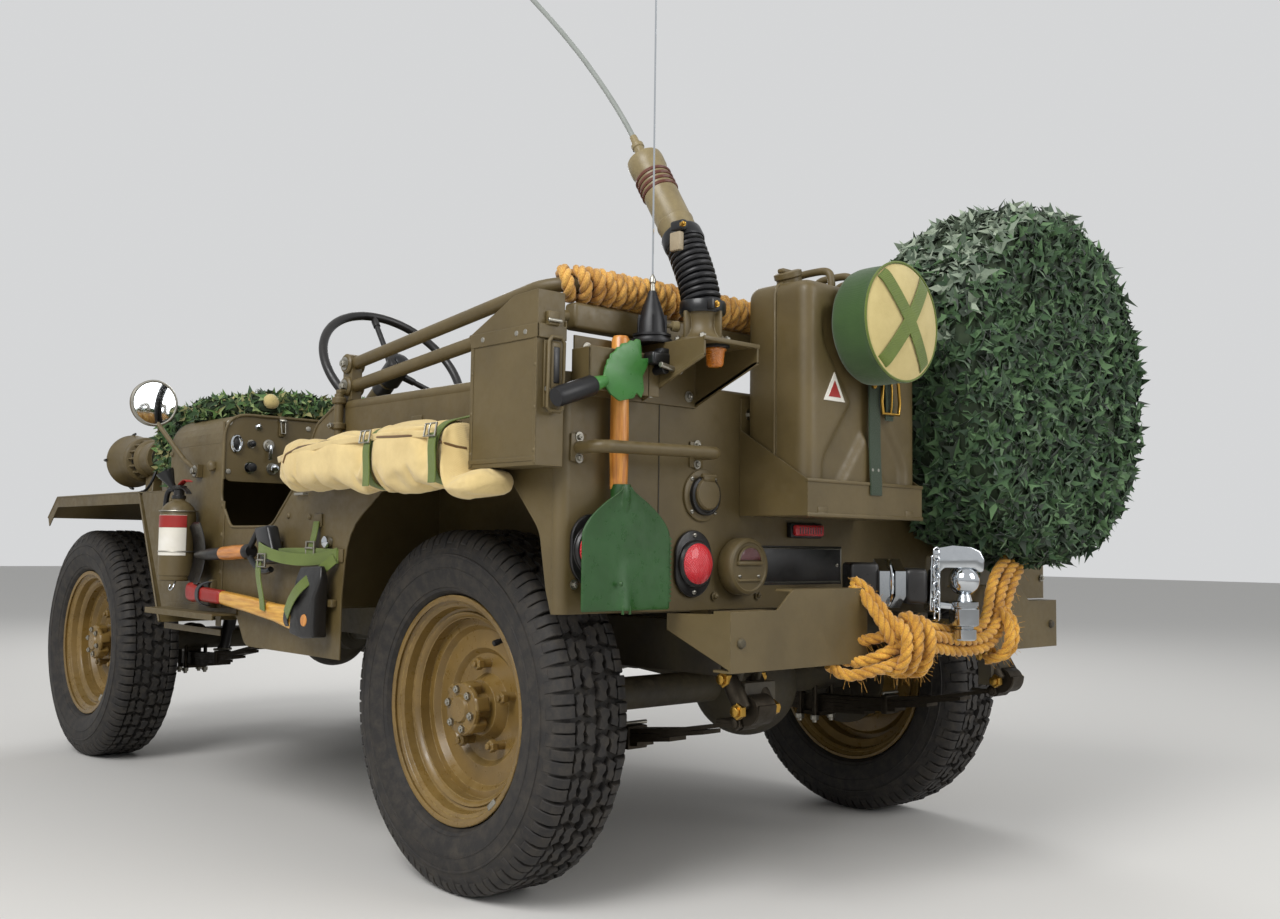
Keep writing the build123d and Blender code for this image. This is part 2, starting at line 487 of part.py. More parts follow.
lid += rod((HX, BOX_Y0 + 15, HZ), (HX, BOX_Y1 - 15, HZ), 4) + box(BOX_X1 - 1, HX, BOX_Y0 + 15, BOX_Y1 - 15, HZ - 1.5, HZ + 3)
out("radio_box", can)
out("radio_lid", lid)

# Folded top bows on side posts, and the rope wound on the upper one
BOW_R = 13
BOW_Y, BOW_X0, BOW_X1 = HALF_BODY - 18, X_TAIL + 40, 286
bows = None
for front, back in ((1004, 1072), (1052, 1130)):
    ends = [(BOW_X1, BOW_Y, front), (BOW_X0, BOW_Y, back), (BOW_X0, -BOW_Y, back), (BOW_X1, -BOW_Y, front)]
    bow = tube(ends, BOW_R, 70)
    bows = bow if bows is None else bows + bow
for s in (1, -1):
    bows += box(BOW_X1 - 18, BOW_X1 + 18, s * (BOW_Y - 12), s * (BOW_Y + 12), Z_RAIL + 6 + SEAT, 1068)
out("top_bows", bows)
out("bow_rope", ring_y(BOW_X0, 1130, -BOW_Y + 152, BOW_Y - 82, 33, BOW_R + SEAT))

# Aerial bracket on the rear panel, the big sprung aerial and the small whip
AX0, AX1, AY0, AY1, AZ = X_TAIL - 157, X_TAIL - SEAT, HALF_BODY - 315, HALF_BODY - 178, 1030
bracket = box(AX1 - 4, AX1, AY0, HALF_BODY - 22, AZ - 100, AZ) + box(AX0, AX1, AY0, AY1, AZ - 4, AZ)
for y in (AY0, AY1 - 4):
    bracket += plate([(AX1, AZ - 100), (AX1, AZ), (AX0, AZ), (AX0, AZ - 32)], "y", y, y + 4)
out("aerial_bracket", bracket)
MX, MY = X_TAIL - 80, AY0 + 63
LEAN = [(MX, MY, AZ + 60), (MX + 42, MY, AZ + 150), (MX + 92, MY, AZ + 255), (MX + 160, MY, AZ + 375)]
mast = rod((MX, MY, AZ + SEAT), (MX, MY, AZ + 14), 48) + rod((MX, MY, AZ + 14), (MX, MY, AZ + 62), 38)
for (p, q), r in zip(zip(LEAN, LEAN[1:]), (36, 36, 34)):
    mast += rod(p, q, r)
for p in LEAN[:3]:
    mast += Pos(*p) * Sphere(36)
ROD = [LEAN[3], (MX + 330, MY, AZ + 600), (MX + 580, MY, AZ + 868), (MX + 950, MY, AZ + 1120), (MX + 1420, MY, AZ + 1300)]
rod_line = Spline(*ROD)
mast += sweep(Plane(origin=rod_line @ 0, z_dir=rod_line % 0) * Circle(6), path=rod_line)
mast += rod(LEAN[3], tuple(Vector(*LEAN[3]) + (rod_line % 0) * 60), 12)
WX, WY = X_TAIL - 30, AY0 + 113
whip = rod((WX, WY, AZ + SEAT), (WX, WY, AZ + 10), 24) + turned_z([(8, 0), (8, 20), (70, 10), (80, 0)], WX, WY, AZ)
whip += rod((WX, WY, AZ + 60), (WX, WY, AZ + 1020), 2.5)
out("aerials", mast, whip)

# Left grab handle across the rear panel
GRAB = [(X_TAIL - SEAT, HALF_BODY - 318, 845), (X_TAIL - 62, HALF_BODY - 318, 845), (X_TAIL - 62, HALF_BODY - 35, 840),
        (X_TAIL - SEAT, HALF_BODY - 35, 840)]
out("grab_handle", tube(GRAB, 11, 22))

# Square shovel and folded pick on the rear panel
YS, XS = HALF_BODY - 150, X_TAIL - 26
shovel = rod((XS, YS, 640), (XS, YS, 1024), 13)
shovel += plate(smooth([(YS + 97, 572), (YS + 97, 700, 50), (YS + 30, 775, 20), (YS - 30, 775, 20), (YS - 97, 700, 50),
                        (YS - 97, 572)]), "x", XS - 19, XS - 12)
shovel += rod((XS - 6, YS, 740), (XS - 6, YS, 800), 17)
shovel += box(XS - 14, X_TAIL - SEAT, YS - 10, YS + 10, 580, 596)
pick = plate(smooth([(YS - 25, 960, 12), (YS - 28, 1020, 20), (YS, 1046, 15), (YS + 60, 1040, 20), (YS + 74, 990, 25),
                     (YS + 50, 952, 20), (YS + 5, 945, 15)]), "x", XS - 26, XS - 19)
pick += rod((XS - 18, YS + 65, 985), (XS - 18, YS + 126, 972), 9) + box(XS - 24, X_TAIL - 4.6, YS + 85, YS + 95, 972, 988)
out("rear_shovel", shovel)
out("folding_pick", pick)

# Rear lamps: two round tail lamps on oval bezels, drop lamp, socket cover, small marker and the blank plate
def oval(y, z, w, h, x0, x1):
    face = Plane(origin=(x0, y, z), x_dir=(0, 1, 0), z_dir=(-1, 0, 0)) * RectangleRounded(w, h, w / 2 - 0.5)
    return extrude(face, amount=x0 - x1)


XB = X_TAIL - SEAT
LAMPS = [(HALF_BODY - 66, 668), (HALF_BODY - 310, 645)]
lamps = []
for y, z in LAMPS:
    lamps.append(oval(y, z, 92, 122, XB, XB - 9) + turned_x([(8, 0), (8, 39), (20, 38), (26, 30), (28, 0)], XB, y, z))
lamps.append(turned_x([(0, 0), (0, 54), (36, 54), (38, 50), (38, 0)], XB, 360, 640))
lamps.append(box(XB - 5, XB, 415, 495, 730, 815) + turned_x([(4, 0), (4, 34), (14, 34), (16, 30), (16, 0)], XB, 455, 770))
lamps.append(box(XB - 22, XB, 118, 212, 698, 724))
out("rear_lamps", lamps)
out("number_plate", box(XB - 3, XB, 42, 296, 604, 680))

# Fuel can in its tray on the rear panel
TY0, TY1 = -3, 352
CX0, CX1 = X_TAIL - 163, X_TAIL - 6
XT = CX0 - 5
tray = box(XT, XB, TY0, TY1, 735, 800) - box(XT + 3, XB - 3, TY0 + 3, TY1 - 3, 738, 801)
tray += box(XB - 3, XB, TY0, TY1, 735, 960)
for y in (TY0, TY1 - 3):
    tray += plate([(XB - 1, 790), (XT, 790), (XT, 800), (XB - 1, 900)], "y", y, y + 3)
out("can_tray", tray)
jerry = box(CX0, CX1, TY0 + 5, TY1 - 5, 738.3, 1175)
jerry = fillet(jerry.edges().filter_by(Axis.Z), 22)
jerry = fillet(jerry.edges().group_by(Axis.Z)[-1], 20)
for y in (110, 175, 240):
    jerry += tube([(CX0 + 33, y, 1170), (CX0 + 33, y, 1208), (CX1 - 34, y, 1208), (CX1 - 34, y, 1170)], 7, 15)
out("jerrycan", jerry)
bag = turned_x([(0, 0), (0, 106), (10, 114), (82, 114), (92, 106), (99, 70), (104, 0)], CX0 - SEAT, 185, 1100)
out("canteen_bag", bag)

# Spare wheel on the rear panel under its leafy net cover
SY, SZ = -405, 1040
spare_rim = turned_x([(0, 0), (0, 70), (30, 90), (30, 150), (0, 196), (0, 218), (10, 218), (36, 190), (110, 190), (136, 218),
                      (144, 218), (144, 200), (60, 176), (52, 60), (70, 40), (70, 0)], X_TAIL - 42, SY, SZ)
spare_tyre = turned_x([(4, 217), (1, 262), (0, 290), (10, 335), (30, 350), (120, 350), (140, 335), (150, 290), (148, 262),
                       (140, 217)], X_TAIL - 45, SY, SZ)
out("spare_wheel", spare_rim + spare_tyre + rod((X_TAIL - 44, SY, SZ), (XB, SY, SZ), 50) +
    box(XB - 6, XB, SY - 80, SY + 80, 760, 1100))
net = turned_x([(-1, 350 + SEAT), (200, 350 + SEAT), (222, 330), (222, 0), (232, 0), (234, 345), (210, 388), (120, 396), (-10, 388)],
               X_TAIL - 30, SY, SZ)
out("spare_net", net)

# Rear bumperettes with drawbar, chrome hitch and knotted tow rope
XE = X_TAIL - 160
Y_IN, Y_OUT = 165, 545
ette = box(XE, XE + 40, Y_IN, Y_OUT, 462, 602) - box(XE + 4, XE + 41, Y_IN - 5, Y_OUT + 5, 466, 598)
ette -= plate([(Y_OUT + 10, 566), (Y_OUT - 120, 566), (Y_OUT - 165, 603), (Y_OUT + 10, 603)], "x", XE - 5, XE + 45)
ette += box(XE + 2, XE + 40, Y_OUT - 120, Y_OUT, 560, 566)
ette += plate([(XE, 466), (XE, 562), (X_TAIL - 5, 557), (X_TAIL - 5, 528)], "y", Y_OUT - 4, Y_OUT)
ette += box(XE + 3, X_TAIL + 30 - SEAT, RAIL_IN + 4, RAIL_OUT - 6, 482, 520)
out("bumperettes", both(ette))
XH = X_TAIL - 232
hitch = box(XE, X_TAIL + 30 - SEAT, -38, 38, 500, 552) + box(XH + 50, XH + 100, -75, 75, 552, 650)
hitch += box(XH - 18, XH + 72, -30, 30, 560, 580) + rod((XH, 0, 575), (XH, 0, 622), 14) + Pos(XH, 0, 636) * Sphere(25)
hitch += rod((XH - 25, 0, 570), (XH + 12, 0, 570), 16)
hitch += box(X_REAR, X_REAR + 23, -14, 14, 560, 640)
out("ball_hitch", hitch)
ROPE = [(46, 292, 602), (27, 250, 540), (17, 150, 492), (17, 0, 488), (17, -160, 492), (30, -245, 560), (44, -300, 612)]
rope = tube([(XH + a, b, c) for a, b, c in ROPE], 20, 34)
rope += ring_y(XH + 21, 496, 62, 150, 50) + ring_y(XH + 21, 500, -244, -196, 46)
out("tow_rope", rope)

# Bedroll strapped along the left side
roll = plate(smooth([(410, 775, 40), (410, 865, 40), (330, 900, 30), (-240, 900, 20), (-250, 800, 20), (-390, 800, 15), (-400, 762, 15), (300, 762, 60)]),
             "y", HALF_BODY + SEAT, HALF_BODY + 108)
out("bedroll", roll)

# Axe and small shovel on the left side
YT = HALF_BODY + 32
tools = rod((962, YT, 566), (430, YT, 520), 16)
tools += box(420, 456, YT - 16, YT + 16, 478, 606) + box(440, 452, HALF_BODY + SEAT, YT + 8, 500, 520)
blade = smooth([(860, 562, 20), (962, 576, 40), (962, 724, 40), (860, 738, 20)])
digger = plate(blade, "y", YT - 4, YT + 1) + rod((866, YT, 650), (640, YT, 668), 15)
GRIP = [(560, 580, 14, 610, 715), (560, 645, 7, 700, 715), (560, 645, 7, 610, 625), (636, 650, 7, 612, 713)]
for x0, x1, half, z0, z1 in GRIP:
    digger += box(x0, x1, YT - half, YT + half, z0, z1)
digger += box(700, 712, HALF_BODY + SEAT, YT + 8, 650, 662)
out("side_tools", tools, digger)

# Fire extinguisher beside the cowl, siren on the wing, two mirrors
BOTTLE = [(0, 0), (0, 40), (6, 43), (168, 43), (192, 26), (198, 14), (214, 14), (216, 0)]
bottle = turned_z(BOTTLE, 1012, HALF_BODY + 47, 575)
bottle += box(990, 1034, HALF_BODY + SEAT, HALF_BODY + 20, 640, 655)
out("fire_extinguisher", bottle)
YN = HALF_BODY - 125
SIREN = [(0, 0), (0, 40), (20, 46), (120, 46), (130, 58), (250, 62), (262, 84), (330, 92), (350, 94), (350, 84), (300, 60), (300, 0)]
siren = turned_x(SIREN, 1470, YN, 912, 1)
siren += box(1600, 1640, YN - 15, YN + 15, Z_WING + SEAT, 870)
out("siren", siren)
YM = HALF_BODY + 60
mirror_glass = turned_x([(0, 0), (0, 55), (3, 60), (12, 60), (22, 40), (24, 0)], 1160, YM, 1030, 1)
arm = [(1182, YM, 1030), (1186, YM - 4, 1000), (1060, YM - 42, 880), (1000, YM - 50, 850)]
out("mirrors", both(mirror_glass + tube(arm, 6, 12) + box(984, 1016, HALF_BODY + SEAT, HALF_BODY + 14, 834, 866)))

# Camouflage net heap over the cowl and beside the bonnet
heap = fillet(box(X_DASH + 15, 1032, 140, HALF_BODY - 68, Z_COWL + SEAT, Z_COWL + 66).edges(), 20)
heap += fillet(box(1010, 1410, SCREEN_Y + 24, HALF_BODY - 25, Z_WING + 9, Z_COWL + 58).edges(), 20) - box(800, X_WALL + 5, 500, 800, 800, Z_COWL + SEAT)
out("net_heap", heap)
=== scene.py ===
# %% [markdown]
# An open 4x4 field car, seen from behind its left corner. Its bare solids come
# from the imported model, which is already in the right place and must not move.
# Everything below is fitted on or around those solids, in the same frame:
# metres, X forward, Y to the car's left, Z up, the origin on the ground.
# %% Load the solids
import math, random
import bpy, bmesh
from mathutils import Matrix, Vector, noise


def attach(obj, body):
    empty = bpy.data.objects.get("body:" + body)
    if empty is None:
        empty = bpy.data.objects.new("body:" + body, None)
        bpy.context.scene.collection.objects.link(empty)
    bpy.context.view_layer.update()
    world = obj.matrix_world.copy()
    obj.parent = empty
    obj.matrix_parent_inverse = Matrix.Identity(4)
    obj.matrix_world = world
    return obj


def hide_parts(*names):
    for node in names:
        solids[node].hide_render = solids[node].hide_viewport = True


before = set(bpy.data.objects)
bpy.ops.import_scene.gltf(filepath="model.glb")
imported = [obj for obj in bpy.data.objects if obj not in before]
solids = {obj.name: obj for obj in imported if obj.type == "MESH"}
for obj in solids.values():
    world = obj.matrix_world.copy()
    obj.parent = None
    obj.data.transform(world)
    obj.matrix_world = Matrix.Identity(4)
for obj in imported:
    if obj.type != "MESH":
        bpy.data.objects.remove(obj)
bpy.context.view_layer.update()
scene = bpy.context.scene
print("solids:", len(solids))

# %% [markdown]
# The car was drawn in millimetres from its rear axle line, which is a handy
# place to measure from. The loaded frame starts below the middle of the car
# instead, so one small function turns a drawing place into a frame place.
# %% From the drawing to the frame
AXLE = 0.940


def at(x, y, z):
    return Vector((x / 1000 - AXLE, y / 1000, z / 1000))


# The four ways that most parts point.
BACK, AHEAD, LEFT, UP = (-1, 0, 0), (1, 0, 0), (0, 1, 0), (0, 0, 1)

# %% [markdown]
# The camera stands where the photographer stood: behind the left rear corner
# and low. Its place, turn and lens were worked out from the four wheels.
# It comes first, so that each later step can be looked at through it.
# %% Camera
def aim(yaw, pitch, roll):
    yaw, pitch, roll = (math.radians(a) for a in (yaw, pitch, roll))
    ahead = Vector((math.cos(pitch) * math.cos(yaw), math.cos(pitch) * math.sin(yaw), math.sin(pitch)))
    right = ahead.cross(Vector(UP)).normalized()
    up = right.cross(ahead)
    across = right * math.cos(roll) + up * math.sin(roll)
    upward = up * math.cos(roll) - right * math.sin(roll)
    return Matrix((across, upward, -ahead)).transposed().to_4x4()


bpy.ops.object.select_all(action="DESELECT")
bpy.ops.object.camera_add()
camera = bpy.context.object
camera.name = "photo_camera"
camera.matrix_world = Matrix.Translation(at(-2035, 2085, 674)) @ aim(-42.75, 4.06, 0.76)
camera.data.lens = 34.68
camera.data.sensor_width = 36
camera.data.clip_start = 0.02
scene.camera = camera
scene.view_settings.view_transform = "Standard"

# %% [markdown]
# A studio has a pale floor and large soft lamps. The world gives an even fill,
# a big panel to the left and above gives form, and a weaker one lights the
# rear. What the camera, gloss and glass see of the world is plain pale grey,
# chosen by ray kind, so the background can be bright and the car not.
# %% Floor, world and lamps
def add(material, kind, links={}, values={}, **settings):
    """Adds one node with its settings, socket values and incoming links."""
    node = material.node_tree.nodes.new(kind)
    for key, value in settings.items():
        setattr(node, key, value)
    for key, value in values.items():
        node.inputs[key].default_value = value
    for key, source in links.items():
        material.node_tree.links.new(source, node.inputs[key])
    return node


def linear(code):
    """Turns an sRGB hex colour into the linear numbers that shaders use."""
    parts = [int(code[i:i + 2], 16) / 255 for i in (1, 3, 5)]
    return tuple(c / 12.92 if c <= 0.04045 else ((c + 0.055) / 1.055) ** 2.4 for c in parts) + (1.0,)


bpy.ops.mesh.primitive_grid_add(x_subdivisions=8, y_subdivisions=8, size=60, location=(0, 0, 0))
floor = bpy.context.object
floor.name = "studio_floor"
paper = bpy.data.materials.new("pale_studio_paper")
paper.use_nodes = True
paper.node_tree.nodes["Principled BSDF"].inputs["Base Color"].default_value = linear("#dcdad6")
paper.node_tree.nodes["Principled BSDF"].inputs["Roughness"].default_value = 0.9
floor.data.materials.append(paper)

world = bpy.data.worlds.new("soft_studio")
scene.world = world
world.use_nodes = True
sky = world.node_tree.nodes["Background"]
sky.inputs["Color"].default_value = linear("#eef0f2")
sky.inputs["Strength"].default_value = 0.48
rays = add(world, "ShaderNodeLightPath")
gloss = add(world, "ShaderNodeMath", {0: rays.outputs["Is Camera Ray"], 1: rays.outputs["Is Transmission Ray"]},
    operation="MAXIMUM")
seen = add(world, "ShaderNodeMath", {0: gloss.outputs[0], 1: rays.outputs["Is Glossy Ray"]},
    operation="MAXIMUM")
pale = add(world, "ShaderNodeBackground", values={"Color": linear("#e4e5e6"), "Strength": 0.86})
choose = add(world, "ShaderNodeMixShader", {0: seen.outputs[0], 1: sky.outputs[0], 2: pale.outputs[0]})
world.node_tree.links.new(choose.outputs[0], world.node_tree.nodes["World Output"].inputs["Surface"])

LAMPS = [("key_panel", (-2.6, 5.0, 4.6), 3.2, 315), ("rear_panel_light", (-5.6, -1.2, 2.8), 2.6, 95),
    ("front_panel_light", (4.5, -3.5, 4.0), 3.0, 120)]
for lamp_name, place, width, watts in LAMPS:
    bpy.ops.object.light_add(type="AREA", location=place)
    lamp = bpy.context.object
    lamp.name = lamp_name
    lamp.data.size = width
    lamp.data.energy = watts
    lamp.rotation_euler = (Vector((0, 0, 0.7)) - Vector(place)).to_track_quat("-Z", "Y").to_euler()
print("lamps:", len(LAMPS))
# %% [markdown]
# Satin olive enamel is sprayed over primer on almost the whole body. Up close
# it is never one colour: broad soft stains, a fine orange peel, pale dust on
# what faces up, and rubbed edges where hands and boots pass. A bevel node
# finds the edges, so the plain sheet shapes get a worn rounded look as well.
# %% Enamel for sheet and castings
class Recipe:
    """A material in the making: each step adds one node and gives its output."""

    def __init__(self, name, rough, **inputs):
        self.material = bpy.data.materials.new(name)
        self.material.use_nodes = True
        self.shader = self.material.node_tree.nodes["Principled BSDF"]
        self.shader.inputs["Roughness"].default_value = rough
        for key, value in inputs.items():
            self.shader.inputs[key.replace("_", " ")].default_value = value

    def node(self, kind, links={}, values={}, **settings):
        return add(self.material, "ShaderNode" + kind, links, values, **settings)

    def where(self):
        return self.node("TexCoord").outputs["Object"]

    def cloud(self, where, scale, detail, rough=0.5):
        values = {"Scale": scale, "Detail": detail, "Roughness": rough}
        return self.node("TexNoise", {"Vector": where}, values).outputs["Fac"]

    def spread(self, source, low, high, to_low=0.0, to_high=1.0):
        values = {"From Min": low, "From Max": high, "To Min": to_low, "To Max": to_high}
        return self.node("MapRange", {"Value": source}, values).outputs[0]

    def times(self, one, two):
        return self.node("Math", {0: one, 1: two}, operation="MULTIPLY").outputs[0]

    def blend(self, amount, first, second):
        """Mixes two colours; the first may be the output of an earlier step."""
        links, values = {"Factor": amount}, {7: linear(second)}
        if isinstance(first, str):
            values[6] = linear(first)
        else:
            links[6] = first
        return self.node("Mix", links, values, data_type="RGBA").outputs[2]

    def bump(self, height, strength, distance, **links):
        links["Height"] = height
        return self.node("Bump", links, {"Strength": strength, "Distance": distance}).outputs[0]

    def crossed(self, where, axes, pitch):
        """Squares from two crossed sine waves, pitch millimetres apart."""
        split = self.node("SeparateXYZ", {0: where})
        waves = []
        for axis in axes:
            turn = self.node("Math", {0: split.outputs[axis]}, {1: 6283.0 / pitch}, operation="MULTIPLY")
            waves.append(self.node("Math", {0: turn.outputs[0]}, operation="SINE").outputs[0])
        return self.times(*waves)

    def done(self, normal=None, colour=None, roughness=None):
        for key, source in (("Base Color", colour), ("Roughness", roughness), ("Normal", normal)):
            if source:
                self.material.node_tree.links.new(source, self.shader.inputs[key])
        return self.material


def enamel(name, coat, stain, dust, worn, rough=0.45, wear=0.5, dusty=0.5, peel=0.12):
    """Sprayed paint: stains of 120 mm, grime of 18 mm, orange peel of 2 mm."""
    made = Recipe(name, rough)
    where = made.where()
    wide, close, fine = made.cloud(where, 8, 5, 0.6), made.cloud(where, 55, 6, 0.65), made.cloud(where, 480, 2)
    ground = made.blend(made.spread(wide, 0.38, 0.66), coat, stain)
    facing = made.node("NewGeometry").outputs["Normal"]
    upward = made.spread(made.node("SeparateXYZ", {0: facing}).outputs[2], 0.1, 0.95, to_high=dusty)
    grimed = made.blend(made.times(upward, made.spread(close, 0.36, 0.68)), ground, dust)
    edge = made.node("Bevel", values={"Radius": 0.0022}, samples=4).outputs[0]
    turn = made.node("VectorMath", {0: edge, 1: facing}, operation="DOT_PRODUCT").outputs["Value"]
    chips = made.spread(close, 0.46, 0.56, to_high=wear)
    colour = made.blend(made.times(made.spread(turn, 0.985, 0.9), chips), grimed, worn)
    matt = made.spread(close, 0.3, 0.7, rough - 0.08, rough + 0.16)
    return made.done(made.bump(fine, peel, 0.0004, Normal=edge), colour, matt)


olive = enamel("satin_olive_enamel", "#5e5030", "#534628", "#84765a", "#7c6e4c", dusty=0.4)
olive_dull = enamel("dull_chassis_enamel", "#453e2c", "#37322a", "#7b705a", "#5f543c", 0.62, dusty=0.7,
    peel=0.3)
# The rim enamel is olive satin paint pushed towards gold: partly its own colour, partly a painted golden
# reflection.
rim_olive_and_gold_reflection = enamel("satin_rim_enamel_and_painted_gold_reflection", "#7f6534", "#69532a", "#98855a", "#b39a62", 0.3, 0.6, 0.3)
deep_green = enamel("gloss_green_enamel", "#264f22", "#1f4219", "#5a6e46", "#5e7a4c", 0.3, 0.35, 0.2, 0.06)
pick_green = enamel("bright_green_enamel", "#3c7a34", "#316a2b", "#7d9464", "#82986a", 0.32, 0.4, 0.2, 0.06)
black_enamel = enamel("black_stoved_enamel", "#151414", "#1b1918", "#4a453c", "#454039", 0.34, dusty=0.2)
signal_red = enamel("signal_red_enamel", "#a3261f", "#8e1f1a", "#a5685a", "#bd7a6a", 0.35, dusty=0.15)
white_enamel = enamel("white_enamel", "#e6e2d8", "#d8d2c2", "#bdb39a", "#b9b09a", 0.4, dusty=0.2)
cast_olive = enamel("rough_cast_enamel", "#57503a", "#463f2d", "#7b715a", "#6b6149", 0.6, peel=0.9)
print("enamels ready")

# %% [markdown]
# Bare metals come next: chrome plate on the hitch, zinc on bolts, brass on the
# buckle and knob, and dark oily spring steel. Metals keep the default IOR.
# What tells them apart is colour, roughness, and a little smear in the polish.
# %% Bare metals
def metal(name, tint, smear, low, high, scale=40.0, bump=0.05):
    """A bare metal with a smeared polish; scale is smears per metre."""
    made = Recipe(name, low, Metallic=1.0)
    where = made.where()
    smears, grit = made.cloud(where, scale, 6, 0.7), made.cloud(where, scale * 20, 2)
    polish = made.spread(smears, 0.35, 0.7, low, high)
    return made.done(made.bump(grit, bump, 0.0003), made.blend(smears, tint, smear), polish)


chrome = metal("chrome_plate", "#d3d6d9", "#b4b9be", 0.05, 0.16)
zinc = metal("zinc_plated_steel", "#b5b2a8", "#8f8b80", 0.28, 0.5)
brass = metal("rubbed_brass", "#c29a4a", "#9a7634", 0.25, 0.45)
spring_steel = metal("oily_spring_steel", "#4d463c", "#2f2b26", 0.45, 0.75, 30.0, 0.4)
mirror_glass = metal("silvered_mirror", "#e8ecee", "#e1e6e8", 0.02, 0.05, 12.0, 0.0)

# %% [markdown]
# Tyre rubber is dark grey rather than black, matt, with pale road dust held in
# the grooves. Moulded rubber and plastic parts use the same recipe with other
# colours. The dust follows noise of about 25 mm.
# %% Rubber and plastics
def moulded(name, body, dust, rough, amount=0.5, spec=0.4):
    made = Recipe(name, rough, Specular_IOR_Level=spec)
    where = made.where()
    film = made.spread(made.cloud(where, 38, 6, 0.7), 0.42, 0.72, to_high=amount)
    return made.done(made.bump(made.cloud(where, 260, 3), 0.2, 0.0006), made.blend(film, body, dust))


tread_rubber = moulded("road_worn_tyre_rubber", "#262423", "#4f483e", 0.68)
black_rubber = moulded("moulded_black_rubber", "#131316", "#38352f", 0.42, 0.2)
black_plastic = moulded("satin_black_plastic", "#111214", "#2c2a28", 0.32, 0.15, 0.5)
horn_beige = moulded("beige_moulded_plastic", "#a1937a", "#7f735c", 0.5, 0.4)
aerial_tube = moulded("olive_glass_fibre_tube", "#8a7c5a", "#6d5f45", 0.36, 0.6)
aerial_ring = moulded("brown_varnished_binding", "#5c3429", "#7d5444", 0.3, 0.35)
aerial_rod_paint = moulded("grey_rod_paint", "#8b8f8a", "#6d716c", 0.4, 0.4)

# %% [markdown]
# Lamp lenses are pressed plastic or glass: light enters, scatters a little and
# comes back coloured. A principled shader with some transmission and a pattern
# of fine pressed squares gives that without a light inside.
# %% Lenses and panes
ACRYLIC, GLASS = 1.49, 1.5


def lens(name, tint, rough, passing, pitch):
    """pitch is the spacing of the pressed squares in millimetres."""
    made = Recipe(name, rough, Base_Color=linear(tint), Transmission_Weight=passing, IOR=ACRYLIC,
        Coat_Weight=0.6)
    return made.done(made.bump(made.crossed(made.where(), (1, 2), pitch), 0.5, 0.0008))


red_lens = lens("pressed_red_lens", "#e0323c", 0.18, 0.15, 5.0)
clear_lens = lens("pressed_clear_lens", "#e8eceb", 0.08, 0.75, 6.0)
dark_lens = lens("dark_red_lens", "#5a1a1c", 0.2, 0.2, 5.0)
amber_lens = lens("pressed_amber_lens", "#c8741e", 0.2, 0.15, 4.0)

glazed = Recipe("laminated_pane_glass", 0.03, Base_Color=linear("#dfe9e4"), Transmission_Weight=1.0, IOR=GLASS)
pane = glazed.done(roughness=glazed.spread(glazed.cloud(glazed.where(), 9, 6), 0.4, 0.75, 0.02, 0.22))

# %% [markdown]
# Cloth and cord are next. Canvas is a plain weave: warp and weft threads cross
# at about 1 mm, drawn here at 2.4 mm so that they show in the render. Object
# coordinates carry the threads, because these pieces hardly bend the weave.
# %% Cloth, webbing and rope fibre
def canvas(name, light, dark, thread=2.4, along=(1, 2), bump=0.35):
    made = Recipe(name, 0.9, Sheen_Weight=0.25, Sheen_Roughness=0.5)
    where = made.where()
    weave = made.crossed(where, along, thread)
    mottle = made.spread(made.cloud(where, 14, 6, 0.65), 0.34, 0.68)
    amount = made.times(mottle, made.spread(made.times(weave, mottle), -0.8, 0.8, 0.15, 0.75))
    return made.done(made.bump(weave, bump, 0.0006), made.blend(amount, light, dark))


tan_canvas = canvas("tan_canvas", "#e4cb8f", "#b79a60", along=(0, 2))
seat_canvas = canvas("olive_seat_canvas", "#6c6a46", "#4e4c32", 2.2, (0, 1))
kit_canvas = canvas("bottle_green_kit_canvas", "#355222", "#213a17")
cream_canvas = canvas("cream_canvas_face", "#cdbb80", "#a89458", 2.6)
green_webbing = canvas("green_cotton_webbing", "#64752a", "#46551b", 3.0, (0, 2), 0.6)
# Dark tan for the tube along the bedroll flap's edge: a painted shadow under the flap.
seam_shadow = canvas("painted_shadow_under_flap_edge", "#6e5026", "#4a3415", along=(0, 2))
bottle_webbing = canvas("bottle_green_webbing", "#20331a", "#142210", 3.0, bump=0.6)
black_webbing = canvas("black_nylon_webbing", "#25262a", "#15161a", 3.0, bump=0.6)


def fibre(name, light, dark):
    """Laid rope fibre: fine stretched noise stands for the yarns, about 1 mm."""
    made = Recipe(name, 0.85, Sheen_Weight=0.3)
    where = made.where()
    yarns = made.cloud(where, 420, 4, 0.7)
    amount = made.spread(made.times(yarns, made.cloud(where, 22, 4)), 0.14, 0.4, 1.0, 0.0)
    return made.done(made.bump(yarns, 0.5, 0.0012), made.blend(amount, light, dark))


manila = fibre("laid_manila_rope", "#ecb85c", "#94621e")
yellow_rope = fibre("yellow_laid_rope", "#eab244", "#a06c1c")


def leaves(name, *tones):
    """Dyed leaf cloth: each cut leaf is its own island and takes its own tone."""
    made = Recipe(name, 0.75, Sheen_Weight=0.2)
    ramp = made.node("ValToRGB", {0: made.node("NewGeometry").outputs["Random Per Island"]})
    ramp.color_ramp.interpolation = "CONSTANT"
    for i, tone in enumerate(tones):
        share = i / len(tones)
        stop = ramp.color_ramp.elements[i] if i < 2 else ramp.color_ramp.elements.new(share)
        stop.position, stop.color = share, linear(tone)
    return made.done(made.bump(made.cloud(made.where(), 300, 3), 0.3, 0.0006), ramp.outputs[0])


spare_leaves = leaves("dyed_leaf_cloth", "#31502c", "#415f38", "#263f27", "#55744a", "#1d2b1b", "#38562f",
    "#2a4526")
